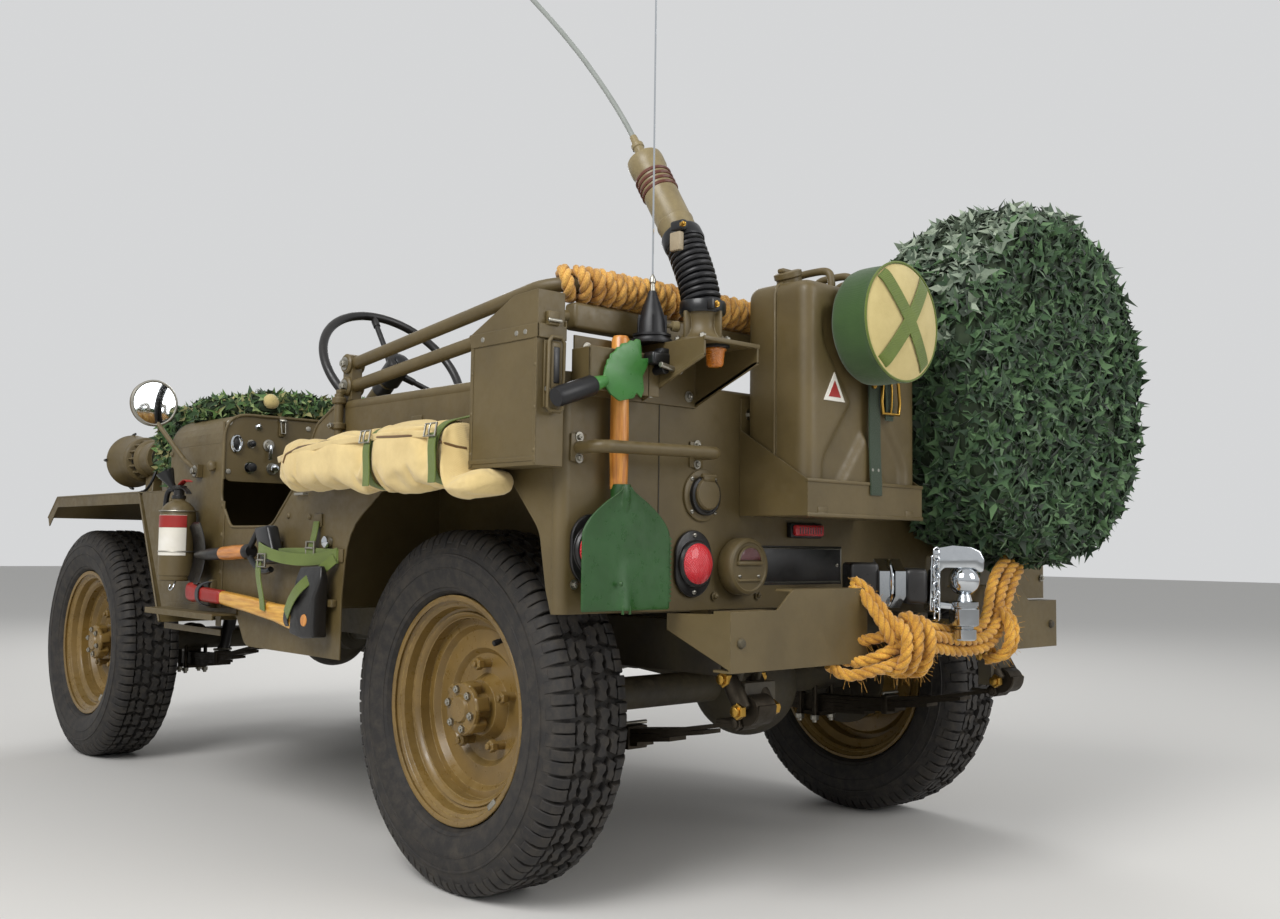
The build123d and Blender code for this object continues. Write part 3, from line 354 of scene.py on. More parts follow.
# Paler leaf tones for the up-facing leaves of the spare cover: painted sunlight.
painted_sunlit_leaves = leaves("leaf_cloth_painted_sunlit_top", "#84927e", "#647360", "#9ca893", "#4b5b49", "#717e6b")
heap_leaves = leaves("brown_green_leaf_cloth", "#5a7a3c", "#37562b", "#7f9158", "#28421f", "#4a6a35", "#8e8a58",
    "#304a26")
print("cloth ready")

# %% [markdown]
# Tool handles are ash under clear or coloured varnish. Growth rings show as
# long streaks, about 4 mm apart, stretched along the handle.
# %% Varnished wood
def varnished(name, light, dark, stretch, rough=0.35):
    made = Recipe(name, rough, Coat_Weight=0.4, Coat_Roughness=0.25)
    grain = made.cloud(made.node("Mapping", {"Vector": made.where()}, {"Scale": stretch}).outputs[0], 60, 8,
        0.6)
    return made.done(made.bump(grain, 0.15, 0.0005), made.blend(made.spread(grain, 0.35, 0.65), light, dark))


UPRIGHT, LENGTHWISE = (3.0, 3.0, 0.25), (0.25, 3.0, 3.0)
shovel_ash = varnished("orange_varnished_ash", "#e09a45", "#b06a24", UPRIGHT)
side_ash = varnished("side_tool_ash", "#d98f3e", "#a9641f", LENGTHWISE)
yellow_ash = varnished("honey_varnished_ash", "#e4b04a", "#bd8228", LENGTHWISE, 0.4)

# %% [markdown]
# Every solid that stays in view now takes the finish that its real part has.
# The soft solids get one too, although fitted pieces later stand for them.
# %% Dress the solids
FINISHES = [(rim_olive_and_gold_reflection, "wheel_front_left wheel_front_right wheel_rear_left wheel_rear_right"),
    (tread_rubber, "tyre_front_left tyre_front_right tyre_rear_left tyre_rear_right spare_wheel"),
    (olive_dull, "rear_axle front_axle knuckle_left knuckle_right chassis_frame propeller_shafts"),
    (spring_steel, "leaf_springs exhaust"), (cast_olive, "powertrain"), (pane, "windscreen_glass"),
    (seat_canvas, "seats"), (manila, "bow_rope"), (black_rubber, "aerials"), (chrome, "ball_hitch"),
    (deep_green, "rear_shovel folding_pick"), (black_enamel, "steering_wheel number_plate side_tools"),
    (kit_canvas, "canteen_bag"), (spare_leaves, "spare_net"), (yellow_rope, "tow_rope"),
    (tan_canvas, "bedroll"), (heap_leaves, "net_heap"), ]
for node_name, solid in solids.items():
    chosen = [finish for finish, names in FINISHES if node_name in names.split()]
    solid.data.materials.clear()
    solid.data.materials.append((chosen or [olive])[0])
print("dressed", len(solids), "solids")
# %% [markdown]
# A few short helpers keep the cells below readable. Each one adds a primitive
# with an operator, works it in edit mode, and leaves the object at the origin
# with its place in its mesh, as the solids have it. Sizes are in millimetres
# on the drawing, so a value can be read against the real car.
# %% Modelling helpers
def alone(obj):
    bpy.ops.object.select_all(action="DESELECT")
    obj.select_set(True)
    bpy.context.view_layer.objects.active = obj
    return obj


def fixed(obj, matrix=None):
    """Moves a fresh object, then puts that move into its mesh."""
    alone(obj)
    if matrix is not None:
        obj.matrix_world = matrix @ obj.matrix_world
    bpy.ops.object.transform_apply(location=True, rotation=True, scale=True)
    return obj


def modified(obj, kind, **settings):
    alone(obj)
    added = obj.modifiers.new(kind.title(), kind)
    for key, value in settings.items():
        setattr(added, key, value)
    bpy.ops.object.modifier_apply(modifier=added.name)
    return obj


def outward(obj):
    """Merges doubles and turns every face outwards."""
    alone(obj)
    bpy.ops.object.mode_set(mode="EDIT")
    bpy.ops.mesh.select_all(action="SELECT")
    bpy.ops.mesh.remove_doubles(threshold=0.00004)
    bpy.ops.mesh.normals_make_consistent(inside=False)
    bpy.ops.object.mode_set(mode="OBJECT")
    return obj


def fresh(adding, **settings):
    """Adds one primitive with nothing else selected, at the origin if no place is given."""
    bpy.ops.object.select_all(action="DESELECT")
    adding(**{"location": (0, 0, 0), **settings})
    return bpy.context.object


def rounded(obj, soft, steps=2, angle=30):
    """Rounds edges sharper than angle by soft millimetres."""
    if not soft:
        return obj
    limit = math.radians(angle)
    return modified(obj, "BEVEL", width=soft / 1000, segments=steps, limit_method="ANGLE", angle_limit=limit)


def block(low, high, soft=2.0, steps=2):
    """A box between two places on the drawing, its edges rounded by soft."""
    a, b = at(*low), at(*high)
    obj = fresh(bpy.ops.mesh.primitive_cube_add, size=1, location=(a + b) / 2)
    obj.scale = [abs(v) for v in b - a]
    return rounded(fixed(obj), soft, steps)


def lathe(rows, centre, axis=UP, sides=40):
    """A turned shape: rings of (distance along the axis, radius) in order."""
    rings = [(a / 1000, max(r, 0.01) / 1000) for a, r in rows]
    obj = fresh(bpy.ops.mesh.primitive_circle_add, vertices=sides, radius=rings[0][1], fill_type="NOTHING")
    bpy.ops.object.mode_set(mode="EDIT")
    bpy.ops.mesh.select_all(action="SELECT")
    bpy.ops.transform.translate(value=(0, 0, rings[0][0]))
    for (a, r), (b, s) in zip(rings, rings[1:]):
        bpy.ops.mesh.extrude_region_move(TRANSFORM_OT_translate={"value": (0, 0, b - a)})
        bpy.ops.transform.resize(value=(s / r, s / r, 1), center_override=(0, 0, b))
    bpy.ops.object.mode_set(mode="OBJECT")
    fixed(obj, Matrix.Translation(at(*centre)) @ Vector(axis).to_track_quat("Z", "Y").to_matrix().to_4x4())
    return outward(obj)


def capped(rows, centre, axis=UP, sides=40):
    """A turned shape that is closed flat at both ends."""
    return lathe([(rows[0][0], 0), *rows, (rows[-1][0], 0)], centre, axis, sides)


def bar(p, q, radius, ease=1.0, sides=20):
    """A round bar from p to q with eased ends."""
    line = Vector(q) - Vector(p)
    far = line.length
    rows = [(0, 0), (0, radius - ease), (ease, radius), (far - ease, radius), (far, radius - ease), (far, 0)]
    return lathe(rows, p, line, sides)


def drawn_out(corners, step, taper=1.0):
    """A flat face with these corners, in metres, drawn out by a step."""
    obj = fresh(bpy.ops.mesh.primitive_circle_add, vertices=len(corners), radius=1, fill_type="NGON")
    for vertex, corner in zip(obj.data.vertices, corners):
        vertex.co = corner
    bpy.ops.object.mode_set(mode="EDIT")
    bpy.ops.mesh.select_all(action="SELECT")
    bpy.ops.mesh.extrude_region_move(TRANSFORM_OT_translate={"value": step})
    if taper != 1.0:
        bpy.ops.transform.resize(value=(taper, taper, 1))
    bpy.ops.object.mode_set(mode="OBJECT")
    return outward(obj)


def cut(outline, axis, low, high, soft=1.0, steps=1):
    """A flat outline, cut out square to an axis and as thick as low to high."""
    def put(a, b, level):
        return at(*{"x": (level, a, b), "y": (a, level, b), "z": (a, b, level)}[axis])

    return rounded(drawn_out([put(a, b, low) for a, b in outline], put(0, 0, high) - put(0, 0, low)), soft,
        steps)


def sheet(columns, rows, size=2):
    """A flat grid, ready to be bent."""
    return fresh(bpy.ops.mesh.primitive_grid_add, x_subdivisions=columns, y_subdivisions=rows, size=size)


def finer(obj, levels=1, **settings):
    return modified(obj, "SUBSURF", levels=levels, render_levels=levels, **settings)


def strap(places, across, width, thick=2.0, round_off=True):
    """A flat band that follows places on the drawing, as wide as width along across."""
    half = Vector(across).normalized() * width / 2
    obj = sheet(len(places) - 1, 1, 1)
    for side in (0, 1):
        for i, place in enumerate(places):
            obj.data.vertices[side * len(places) + i].co = at(*(Vector(place) + half * (2 * side - 1)))
    if round_off:
        finer(obj, 2, boundary_smooth="PRESERVE_CORNERS")
    modified(obj, "SOLIDIFY", thickness=thick / 1000, offset=0)
    return rounded(obj, min(thick / 3, 1.5), 1, 50)


def curve(lines, kind="POLY", closed=False, pieces=8, **settings):
    """A curve object whose lines go through places in metres."""
    data = bpy.data.curves.new("line", "CURVE")
    for key, value in {"dimensions": "3D", "resolution_u": pieces, **settings}.items():
        setattr(data, key, value)
    for line in lines:
        spline = data.splines.new(kind)
        spline.points.add(len(line) - 1)
        for point, place in zip(spline.points, line):
            point.co = (*place, 1)
        spline.use_cyclic_u = closed
        if kind == "NURBS":
            spline.order_u = 3
            spline.use_endpoint_u = not closed
    return bpy.data.objects.new("line", data)


def piped_through(lines, radius, kind="POLY", sides=4, closed=False, caps=True):
    """Round tubes along lines of places in metres, made one mesh."""
    size = {"bevel_depth": radius / 1000, "bevel_resolution": sides, "use_fill_caps": caps}
    obj = curve(lines, kind, closed, **size)
    scene.collection.objects.link(obj)
    alone(obj)
    bpy.ops.object.convert(target="MESH")
    return bpy.context.object


def tube(places, radius, kind="NURBS", sides=4, closed=False):
    """A round tube on one smooth line through places on the drawing."""
    return piped_through([[at(*place) for place in places]], radius, kind, sides, closed)


def hoop(centre, radius, thick, count, kind="POLY", sides=3, tall=None):
    """A wire hoop that faces along the car; tall is half its height if it is oval."""
    x, y, z = centre
    turns = [2 * math.pi * i / count for i in range(count)]
    places = [(x, y + radius * math.cos(t), z + (tall or radius) * math.sin(t)) for t in turns]
    return tube(places, thick, kind, sides, True)


def united(*parts):
    flat = [p for part in parts for p in (part if isinstance(part, (list, tuple)) else [part])]
    alone(flat[0])
    for part in flat:
        part.select_set(True)
    if len(flat) > 1:
        bpy.ops.object.join()
    return bpy.context.object


def twin_of(obj, matrix):
    """A copy of obj with its own mesh, moved or mirrored by matrix."""
    twin = obj.copy()
    twin.data = obj.data.copy()
    twin.data.transform(matrix)
    if matrix.determinant() < 0:
        twin.data.flip_normals()
    scene.collection.objects.link(twin)
    return twin


def copied(obj, matrices):
    """One copy of obj per matrix; obj itself goes."""
    made = [twin_of(obj, matrix) for matrix in matrices]
    bpy.data.objects.remove(obj)
    return made


def moved(x=0, y=0, z=0):
    return Matrix.Translation(Vector((x, y, z)) / 1000)


def turned_about(place, axis, degrees):
    centre = Matrix.Translation(at(*place))
    return centre @ Matrix.Rotation(math.radians(degrees), 4, axis) @ centre.inverted()


MIRROR = Matrix.Scale(-1, 4, LEFT)


def coated(obj, finish):
    obj.data.materials.clear()
    obj.data.materials.append(finish)
    return obj


def dress(finish, *parts):
    return [coated(part, finish) for part in parts]


def kept(name, parts, slot, *stands_for, body="vehicle", angle=35):
    """Joins, names and smooths a finished piece and ties it to the body that it moves with."""
    obj = alone(united(parts))
    bpy.ops.object.shade_smooth_by_angle(angle=math.radians(angle))
    obj.name = obj.data.name = name
    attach(obj, body)
    if stands_for:
        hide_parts(*stands_for)
    print(name, len(obj.data.polygons), "faces")
    return obj


# %% [markdown]
# The tyres are wide all-terrain ones, and their tread is what the eye meets
# first. A real tread is a belt of interlocking blocks, moulded pitch by pitch.
# So one pitch is built, from five small blocks with bevelled edges, and copied
# 44 times round a smooth carcass whose sides carry thin moulded rings.
# %% One tyre, then five
TREAD_TOP, GROOVE, PITCHES = 351.6, 340.0, 44
WALL_OUT = [(64.5, 223.7), (70, 227), (79, 232), (82, 238), (84, 239), (88, 250), (92, 262), (94, 274),
    (95.6, 275), (95.6, 277), (94.4, 278), (94.6, 290), (93, 300), (94.5, 301.5), (94.5, 304), (92, 305),
    (89, 315), (84, 326), (76, 335), (66, 339), (50, GROOVE)]
CARCASS = [(-a, r) for a, r in WALL_OUT] + WALL_OUT[::-1]
BLOCKS = [[(3, 4), (15, 0), (25, 6), (22, 18), (28, 27), (26, 38), (14, 43), (3, 37), (8, 24)],
    [(31, 10), (47, 3), (50, 16), (46, 27), (49, 40), (35, 47), (30, 35), (34, 23)]]
LUGS = [([(52, TREAD_TOP), (63, 351), (73, 346.8), (83, 334.5), (90.5, 314), (87, 311), (78, 328), (66, 338),
    (52, 338)], 2, 22), ([(52, TREAD_TOP), (63, 351), (73, 346.8), (82, 336), (86.5, 326), (82, 322), (76, 331),
    (66, 338), (52, 338)], 27, 18)]
HUB_Z = 352
ONE_PITCH = 2 * math.pi * HUB_Z / PITCHES
SUNK = 0.002


def tread_block(outline, side, shift):
    """A tread block: its outline is (across, along) and its top is the tread's radius."""
    foot = GROOVE / 1000 - SUNK
    corners = [((along + shift) / 1000, side * across / 1000, foot) for across, along in outline]
    return drawn_out(corners, (0, 0, (TREAD_TOP - GROOVE) / 1000 + SUNK), 0.93)


def tread_lug(profile, side, start, length):
    """A shoulder lug: its (across, radius) profile, swept along the tread."""
    corners = [(start / 1000, side * across / 1000, radius / 1000) for across, radius in profile]
    return rounded(drawn_out(corners, (length / 1000, 0, 0)), 1.2, 1, 50)


pitch_parts = []
for side in (1, -1):
    shift = 0 if side == 1 else ONE_PITCH / 2
    pitch_parts += [tread_block(outline, side, shift) for outline in BLOCKS]
    pitch_parts += [tread_lug(profile, side, start + shift, length) for profile, start, length in LUGS]
one_pitch = united(pitch_parts)
one_pitch.data.transform(Matrix.Translation((-ONE_PITCH / 2000, 0, 0)))
turns = [Matrix.Rotation(2 * math.pi * i / PITCHES, 4, "Y") for i in range(PITCHES)]
tread = copied(one_pitch, turns)
carcass = lathe(CARCASS + [CARCASS[0]], (AXLE * 1000, 0, 0), LEFT, 88)
pattern_tyre = coated(united(carcass, tread), tread_rubber)
pattern_tyre.name = "pattern_tyre"
print("one tyre:", len(pattern_tyre.data.polygons), "faces")

WHEEL_PLACES = {"front_left": (2032, 622), "front_right": (2032, -622), "rear_left": (0, 622),
    "rear_right": (0, -622)}
for i, (corner, (x, y)) in enumerate(WHEEL_PLACES.items()):
    spin = Matrix.Rotation(math.radians(3 + 2 * i), 4, "Y")
    tyre = twin_of(pattern_tyre, Matrix.Translation(at(x, y, HUB_Z)) @ spin)
    kept(f"tread_tyre_{corner}", tyre, "tyre_rubber", f"tyre_{corner}", body=f"wheel_{corner}", angle=30)
spare = twin_of(pattern_tyre, Matrix.Translation(at(-560, -405, 1040)) @ Matrix.Rotation(math.radians(90), 4,
    "Z") @ Matrix.Diagonal((0.993, 0.79, 0.993, 1)))
kept("tread_tyre_spare", spare, "tyre_rubber", angle=30)
bpy.data.objects.remove(pattern_tyre)

# %% [markdown]
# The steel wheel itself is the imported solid. It gets what is too small for a
# solid: hex nuts on studs, a ribbed driving flange with six bolts round the
# hub, the bead ring and the valve. One set is made and copied to each wheel,
# mirrored on the right side.
# %% Wheel furniture
def nut(place, axis, across_flats=19, height=12, stud=7, out=6):
    """A hex nut with a short stud end standing out of it."""
    six = capped([(0, across_flats * 0.57), (height * 0.85, across_flats * 0.57),
        (height, across_flats * 0.48)], place, axis, 6)
    tip = capped([(height - 1, stud), (height + out - 1, stud), (height + out, stud - 1.5)], place, axis, 12)
    return united(six, tip)


hub_parts = []
for i in range(5):
    t = math.radians(90 + 72 * i)
    hub_parts += dress(rim_olive_and_gold_reflection, nut((86 * math.cos(t), 628, HUB_Z + 86 * math.sin(t)), LEFT, 22, 13, 6.5, 7))
hub_parts += dress(rim_olive_and_gold_reflection, lathe([(40, 0), (40, 50), (46, 52), (52, 50), (54, 44), (54, 28), (60, 24),
    (61, 0)], (0, 622, HUB_Z), LEFT, 36))
for i in range(6):
    t = math.radians(60 * i + 15)
    hub_parts += dress(zinc, nut((39 * math.cos(t), 674, HUB_Z + 39 * math.sin(t)), LEFT, 14, 9, 4, 3))
    lobe = block((-14, 640, HUB_Z + 26), (14, 673, HUB_Z + 53), 5, 3)
    lobe.data.transform(turned_about((0, 650, HUB_Z), "Y", 60 * i - 75))
    hub_parts += dress(rim_olive_and_gold_reflection, lobe)
hub_parts += dress(rim_olive_and_gold_reflection, lathe([(65, 214), (70, 222.5), (72.6, 222), (73, 217), (71, 212), (65, 214)],
    (0, 622, HUB_Z), LEFT, 72), lathe([(30, 178), (34, 184), (38, 190), (40, 188), (37, 182), (30, 178)],
    (0, 622, HUB_Z), LEFT, 72))
valve_angle = math.radians(128)
hub_parts += dress(black_rubber, capped([(0, 8), (10, 6), (26, 5), (28, 6), (38, 6), (40, 4)],
    (186 * math.cos(valve_angle), 640, HUB_Z + 186 * math.sin(valve_angle)),
    (-0.45 * math.cos(valve_angle), 1, -0.45 * math.sin(valve_angle)), 16))
weight = block((-14, 690, HUB_Z - 216), (14, 696, HUB_Z - 205), 2)
weight.data.transform(turned_about((0, 690, HUB_Z), "Y", 40))
hub_parts += dress(zinc, weight)
wheel_set = united(hub_parts)
for corner, (x, y) in WHEEL_PLACES.items():
    flip = MIRROR if y < 0 else Matrix.Identity(4)
    twin = twin_of(wheel_set, Matrix.Translation((x / 1000, 0, 0)) @ flip)
    kept(f"hub_furniture_{corner}", twin, "rim_paint", body=f"wheel_{corner}")
bpy.data.objects.remove(wheel_set)


# %% [markdown]
# The bedroll is a rolled sheet of tan canvas, strapped to the side by two
# webbing straps. A roll cannot be drawn as a box: it bulges between the straps
# and creases run out from under them. A ringed tube is shaped first, then
# Blender's cloth pulls it tight with a little pressure and some spare cloth,
# held at the straps. How far a point may move is capped, to stay in its place.
# %% Bedroll
STRAP_X = (2, -218)
ROLL_Y = 845


def drawn(place):
    """The place on the drawing, in millimetres, of a place in the frame."""
    return ((place.x + AXLE) * 1000, place.y * 1000, place.z * 1000)


def blown(obj, stays, furthest, steps, **settings):
    """Fills obj as cloth for some steps; no point moves more than furthest, in metres."""
    start = [v.co.copy() for v in obj.data.vertices]
    held = obj.vertex_groups.new(name="held")
    held.add([v.index for v in obj.data.vertices if stays(v)], 1.0, "REPLACE")
    alone(obj)
    bpy.ops.object.modifier_add(type="CLOTH")
    cloth = obj.modifiers[-1]
    for key, value in {"mass": 0.3, "vertex_group_mass": "held", "use_pressure": True, **settings}.items():
        setattr(cloth.settings, key, value)
    cloth.settings.effector_weights.gravity = 0
    cloth.collision_settings.use_self_collision = False
    for step in range(1, steps + 1):
        scene.frame_set(step)
    bpy.ops.object.modifier_apply(modifier=cloth.name)
    scene.frame_set(1)
    for vertex, before in zip(obj.data.vertices, start):
        shift = vertex.co - before
        if shift.length > furthest:
            vertex.co = before + shift * (furthest / shift.length)


def roll_section(x):
    """Half width, half height and middle height of the roll at x."""
    run = max(0.0, min(1.0, (x + 345) / 745))
    round_end = min(1.0, math.sqrt(max(0.0, 1 - ((x - 300) / 112) ** 2))) if x > 300 else 1.0
    left_end = min(1.0, math.sqrt(max(0.02, 1 - ((-x - 300) / 47) ** 2))) if x < -300 else 1.0
    half_z = 54 + 5 * math.sin(4 * run)
    middle = 834
    if x < -235:
        ease = min(1.0, (-235 - x) / 26)
        half_z, middle = half_z * (1 - ease) + 21 * ease, middle * (1 - ease) + 782 * ease
    pinch = 1 - 0.13 * sum(math.exp(-((x - s) / 17) ** 2) for s in STRAP_X)
    return 47 * round_end * left_end * pinch, half_z * round_end * left_end * pinch, middle


RINGS = 96
rows = [(0, 0)] + [(745 * i / (RINGS - 1), 30) for i in range(RINGS)] + [(745, 0)]
bedroll = lathe(rows, (400, ROLL_Y, 834), BACK, 64)
for vertex in bedroll.data.vertices:
    x = (vertex.co.x + AXLE) * 1000
    dy, dz = vertex.co.y * 1000 - ROLL_Y, vertex.co.z * 1000 - 834
    reach = math.hypot(dy, dz) / 30
    half_y, half_z, middle = roll_section(x)
    t = math.atan2(dz, dy)
    square = (abs(math.cos(t)) ** 2.6 + abs(math.sin(t)) ** 2.6) ** (-1 / 2.6)
    lump = 1 + 0.05 * noise.noise(Vector((x / 70, t * 1.3, 0.5)))
    fold = 3.5 * math.exp(-((t - 0.75) / 0.13) ** 2) if -230 < x < 380 else 0
    vertex.co = at(x, ROLL_Y + reach * (half_y * square * lump + fold) * math.cos(t),
        middle + reach * (half_z * square * lump + fold) * math.sin(t))
blown(bedroll, lambda v: min(abs(drawn(v.co)[0] - s)
    for s in STRAP_X) < 13 or v.co.y * 1000 < 806 or not -330 <= drawn(v.co)[0] <= 388, 0.010, 18,
    quality=6, uniform_pressure_force=2.2, shrink_min=-0.14, bending_stiffness=0.4)
for vertex in bedroll.data.vertices:
    vertex.co.y = min(vertex.co.y, 0.9005)
finer(bedroll)
coated(bedroll, tan_canvas)
flap = strap([(372, 892, 846), (250, 899, 862), (120, 899.5, 870), (2, 893, 872), (-110, 900, 872),
    (-218, 893, 866)], (0, 0.25, 1), 13, 3)
coated(flap, tan_canvas)
bpy.context.view_layer.update()
SEAM = [(334, 838), (324, 855), (275, 867), (158, 873), (6, 873), (-99, 868), (-197, 866), (-222, 855),
    (-261, 838), (-312, 820)]
seam = []
for (x0, z0), (x1, z1) in zip(SEAM, SEAM[1:]):
    for k in range(8):
        hit, place, _, _ = bedroll.ray_cast(at(x0 + (x1 - x0) * k / 8, 1000, z0 + (z1 - z0) * k / 8),
            Vector((0, -1, 0)))
        if hit:
            seam.append(((place.x + AXLE) * 1000, place.y * 1000 + 0.6, place.z * 1000))
print("seam places found on the roll:", len(seam))
kept("canvas_bedroll", [bedroll, flap], "canvas", "bedroll", angle=60)
# The dark tube along the flap's edge is a painted shadow under the flap.
straps = [coated(tube(seam, 2.3, "POLY"), seam_shadow)]
for x in STRAP_X:
    straps += dress(green_webbing, strap([(x, 792, 912), (x, 812, 906), (x, 840, 897), (x, 868, 892),
        (x, 890, 874), (x + 1, 897, 846), (x + 2, 898, 815), (x + 3, 890, 789), (x + 4, 868, 776),
        (x + 4, 800, 774)], AHEAD, 25, 2.4), strap([(x - 4, 899, 868), (x - 7, 906, 846), (x - 9, 903, 812),
        (x - 12, 906, 780)], AHEAD, 23, 2.2))
    straps += dress(zinc, tube([(x - 17, 901, 884), (x + 17, 901, 884), (x + 17, 905, 862), (x - 17, 905, 862)],
        2.2, "POLY", closed=True), tube([(x, 902, 884), (x - 1, 908, 874), (x - 1, 906, 861)], 1.8))
    straps += dress(olive, block((x - 18, 788, 905), (x + 18, 793, 922), 1.5))
kept("bedroll_straps", straps, "canvas")

# %% [markdown]
# The round bag hangs behind the fuel can: a cream canvas face in a green
# gusset, with two webbing bands crossed over the face. A drum outline is
# inflated a little, then sagged, so its seams stand proud where it is sewn.
# %% Round bag on the fuel can
BAG = (-604, 182, 1100)
bag_rows = [(0, 0), (0, 60), (1, 98), (6, 108), (16, 112), (40, 113.5), (64, 112.5), (78, 110), (84, 112.5),
    (88, 112), (90, 106), (94, 92), (98, 70), (101, 45), (103, 20), (103, 0)]
bag = lathe(bag_rows, BAG, BACK, 64)
for vertex in bag.data.vertices:
    away = vertex.co - at(*BAG)
    along = -away.x * 1000
    t = math.atan2(away.z, away.y)
    soft = noise.noise(Vector((3 * math.cos(t), 3 * math.sin(t), along / 45)))
    sag = 1 + 0.018 * soft - 0.02 * math.cos(t - 1.2)
    if 8 < along < 80:
        sag -= 0.02 * math.sin((along - 8) / 72 * math.pi) * (0.6 + 0.4 * soft)
    vertex.co = at(*BAG) + Vector((away.x, away.y * sag, away.z * sag))
finer(bag)
bag.data.materials.clear()
bag.data.materials.append(kit_canvas)
bag.data.materials.append(cream_canvas)
for face in bag.data.polygons:
    if -(face.center.x - at(*BAG).x) * 1000 > 87:
        face.material_index = 1
kept("round_bag", bag, "bag_cloth", "canteen_bag", angle=60)
bag_bands = []
for lean in (52, 128):
    up, side = math.sin(math.radians(lean)), math.cos(math.radians(lean))
    reach = [(-106, 84), (-104, 93), (-80, 98), (-40, 103.5), (0, 106), (40, 103.5), (80, 98), (104, 93),
        (106, 84)]
    route = [(BAG[0] - out_by - 1.5, BAG[1] + r * side, BAG[2] + r * up) for r, out_by in reach]
    bag_bands += dress(green_webbing, strap(route, (0, -up, side), 30, 2.4))
bag_bands += dress(green_webbing, hoop((BAG[0] - 88, *BAG[1:]), 112.5, 2.4, 24, "NURBS", 4))
kept("round_bag_bands", bag_bands, "bag_cloth")

# %% [markdown]
# The spare wheel wears a net with cut leaf cloth tied into it. A lumpy dark
# shell stands for the net, and 4700 small leaves lie on it in all directions.
# Each leaf is a curled star of ten corners, so the whole cover stays light.
# The up-facing leaves take paler tones: painted sunlight on the top of the cover.
# %% Leafy cover of the spare wheel
random.seed(41)


def leaf(shape, curl):
    obj = fresh(bpy.ops.mesh.primitive_circle_add, vertices=len(shape), radius=1, fill_type="TRIFAN")
    ring = [v for v in obj.data.vertices if v.co.length > 0.5]
    for i, (vertex, reach) in enumerate(zip(ring, shape)):
        t = 2 * math.pi * i / len(shape)
        vertex.co = (reach * math.cos(t), reach * math.sin(t), curl * reach * (1 if i % 4 else -0.6))
    for vertex in obj.data.vertices:
        if vertex not in ring:
            vertex.co = (0, 0, 0)
    return obj


LEAVES = [leaf((1.0, 0.35, 0.8, 0.3, 0.95, 0.4, 0.7, 0.3, 0.9, 0.4), 0.45),
    leaf((1.2, 0.3, 0.6, 0.35, 1.0, 0.25, 0.9, 0.4), 0.3),
    leaf((0.9, 0.5, 1.1, 0.3, 0.7, 0.5, 1.0, 0.35, 0.8), 0.6)]


def strewn(spots, low_size, high_size, tilt):
    """One mesh of many leaves; spots are (place, normal), in metres."""
    heap = bmesh.new()
    for place, normal in spots:
        template = LEAVES[random.randrange(len(LEAVES))].data
        size = random.uniform(low_size, high_size) / 1000
        lean = (normal + Vector((random.uniform(-tilt, tilt), random.uniform(-tilt, tilt),
            random.uniform(-tilt, tilt)))).normalized()
        put = Matrix.Translation(place) @ lean.to_track_quat("Z",
            "Y").to_matrix().to_4x4() @ Matrix.Rotation(random.uniform(0, 6.28), 4, "Z") @ Matrix.Scale(size, 4)
        first = len(heap.verts)
        heap.from_mesh(template)
        heap.verts.ensure_lookup_table()
        for vertex in heap.verts[first:]:
            vertex.co = put @ vertex.co
    data = bpy.data.meshes.new("leaves")
    heap.to_mesh(data)
    heap.free()
    obj = bpy.data.objects.new("leaves", data)
    scene.collection.objects.link(obj)
    return obj


COVER = (-470, -405, 1040)
COVER_ROWS = [(-10, 352), (-12, 372), (4, 384), (50, 389), (110, 390), (170, 387), (205, 380), (224, 362),
    (231, 330), (234, 250), (236, 150), (236, 60), (236, 0)]
dense = []
for (a, r), (b, s) in zip(COVER_ROWS, COVER_ROWS[1:]):
    pieces = max(1, round(math.hypot(b - a, s - r) / 22))
    dense += [(a + (b - a) * k / pieces, r + (s - r) * k / pieces) for k in range(pieces)]
dense.append(COVER_ROWS[-1])
cover = lathe(dense, COVER, BACK, 96)
axis_place = at(*COVER)
for vertex in cover.data.vertices:
    away = vertex.co - axis_place
    vertex.co = axis_place + Vector((away.x - 0.004 * noise.noise(vertex.co * 11), away.y,
        away.z)) if abs(away.x) > 0.22 else vertex.co
    swell = noise.noise(vertex.co * 7) * 0.007 + noise.noise(vertex.co * 23) * 0.004
    radial = Vector((0, away.y, away.z)).normalized() if away.yz.length > 0.02 else Vector(BACK)
    vertex.co += radial * (swell - 0.004)
twine = Recipe("dark_net_twine", 0.9)
cells = twine.node("TexVoronoi", {"Vector": twine.where()}, {"Scale": 55.0}).outputs["Distance"]
net_dark = twine.done(colour=twine.blend(cells, "#1c2618", "#2f3f26"))
coated(cover, net_dark)
faces = [(f.center.copy(), f.normal.copy(), f.area) for f in cover.data.polygons
    if (f.center - axis_place).x < 0.012]
weights = [area for _, _, area in faces]
spots, sunlit_top_spots = [], []
for centre, normal, _ in random.choices(faces, weights, k=4700):
    jitter = Vector([random.uniform(-0.008, 0.008) for _ in range(3)])
    place = centre + jitter + normal * random.uniform(-0.001, 0.007)
    # Leaves on up-facing faces take the paler tones: painted sunlight on the top of the cover.
    sunlit_top = normal.z > 0.2 and random.random() < 1.3 * normal.z - 0.05
    (sunlit_top_spots if sunlit_top else spots).append((place, normal))
green = coated(strewn(spots, 18, 32, 0.65), spare_leaves)
sunlit_top = coated(strewn(sunlit_top_spots, 18, 32, 0.65), painted_sunlit_leaves)
kept("leafy_wheel_cover", [cover, green, sunlit_top], "net_cloth", "spare_net", angle=25)

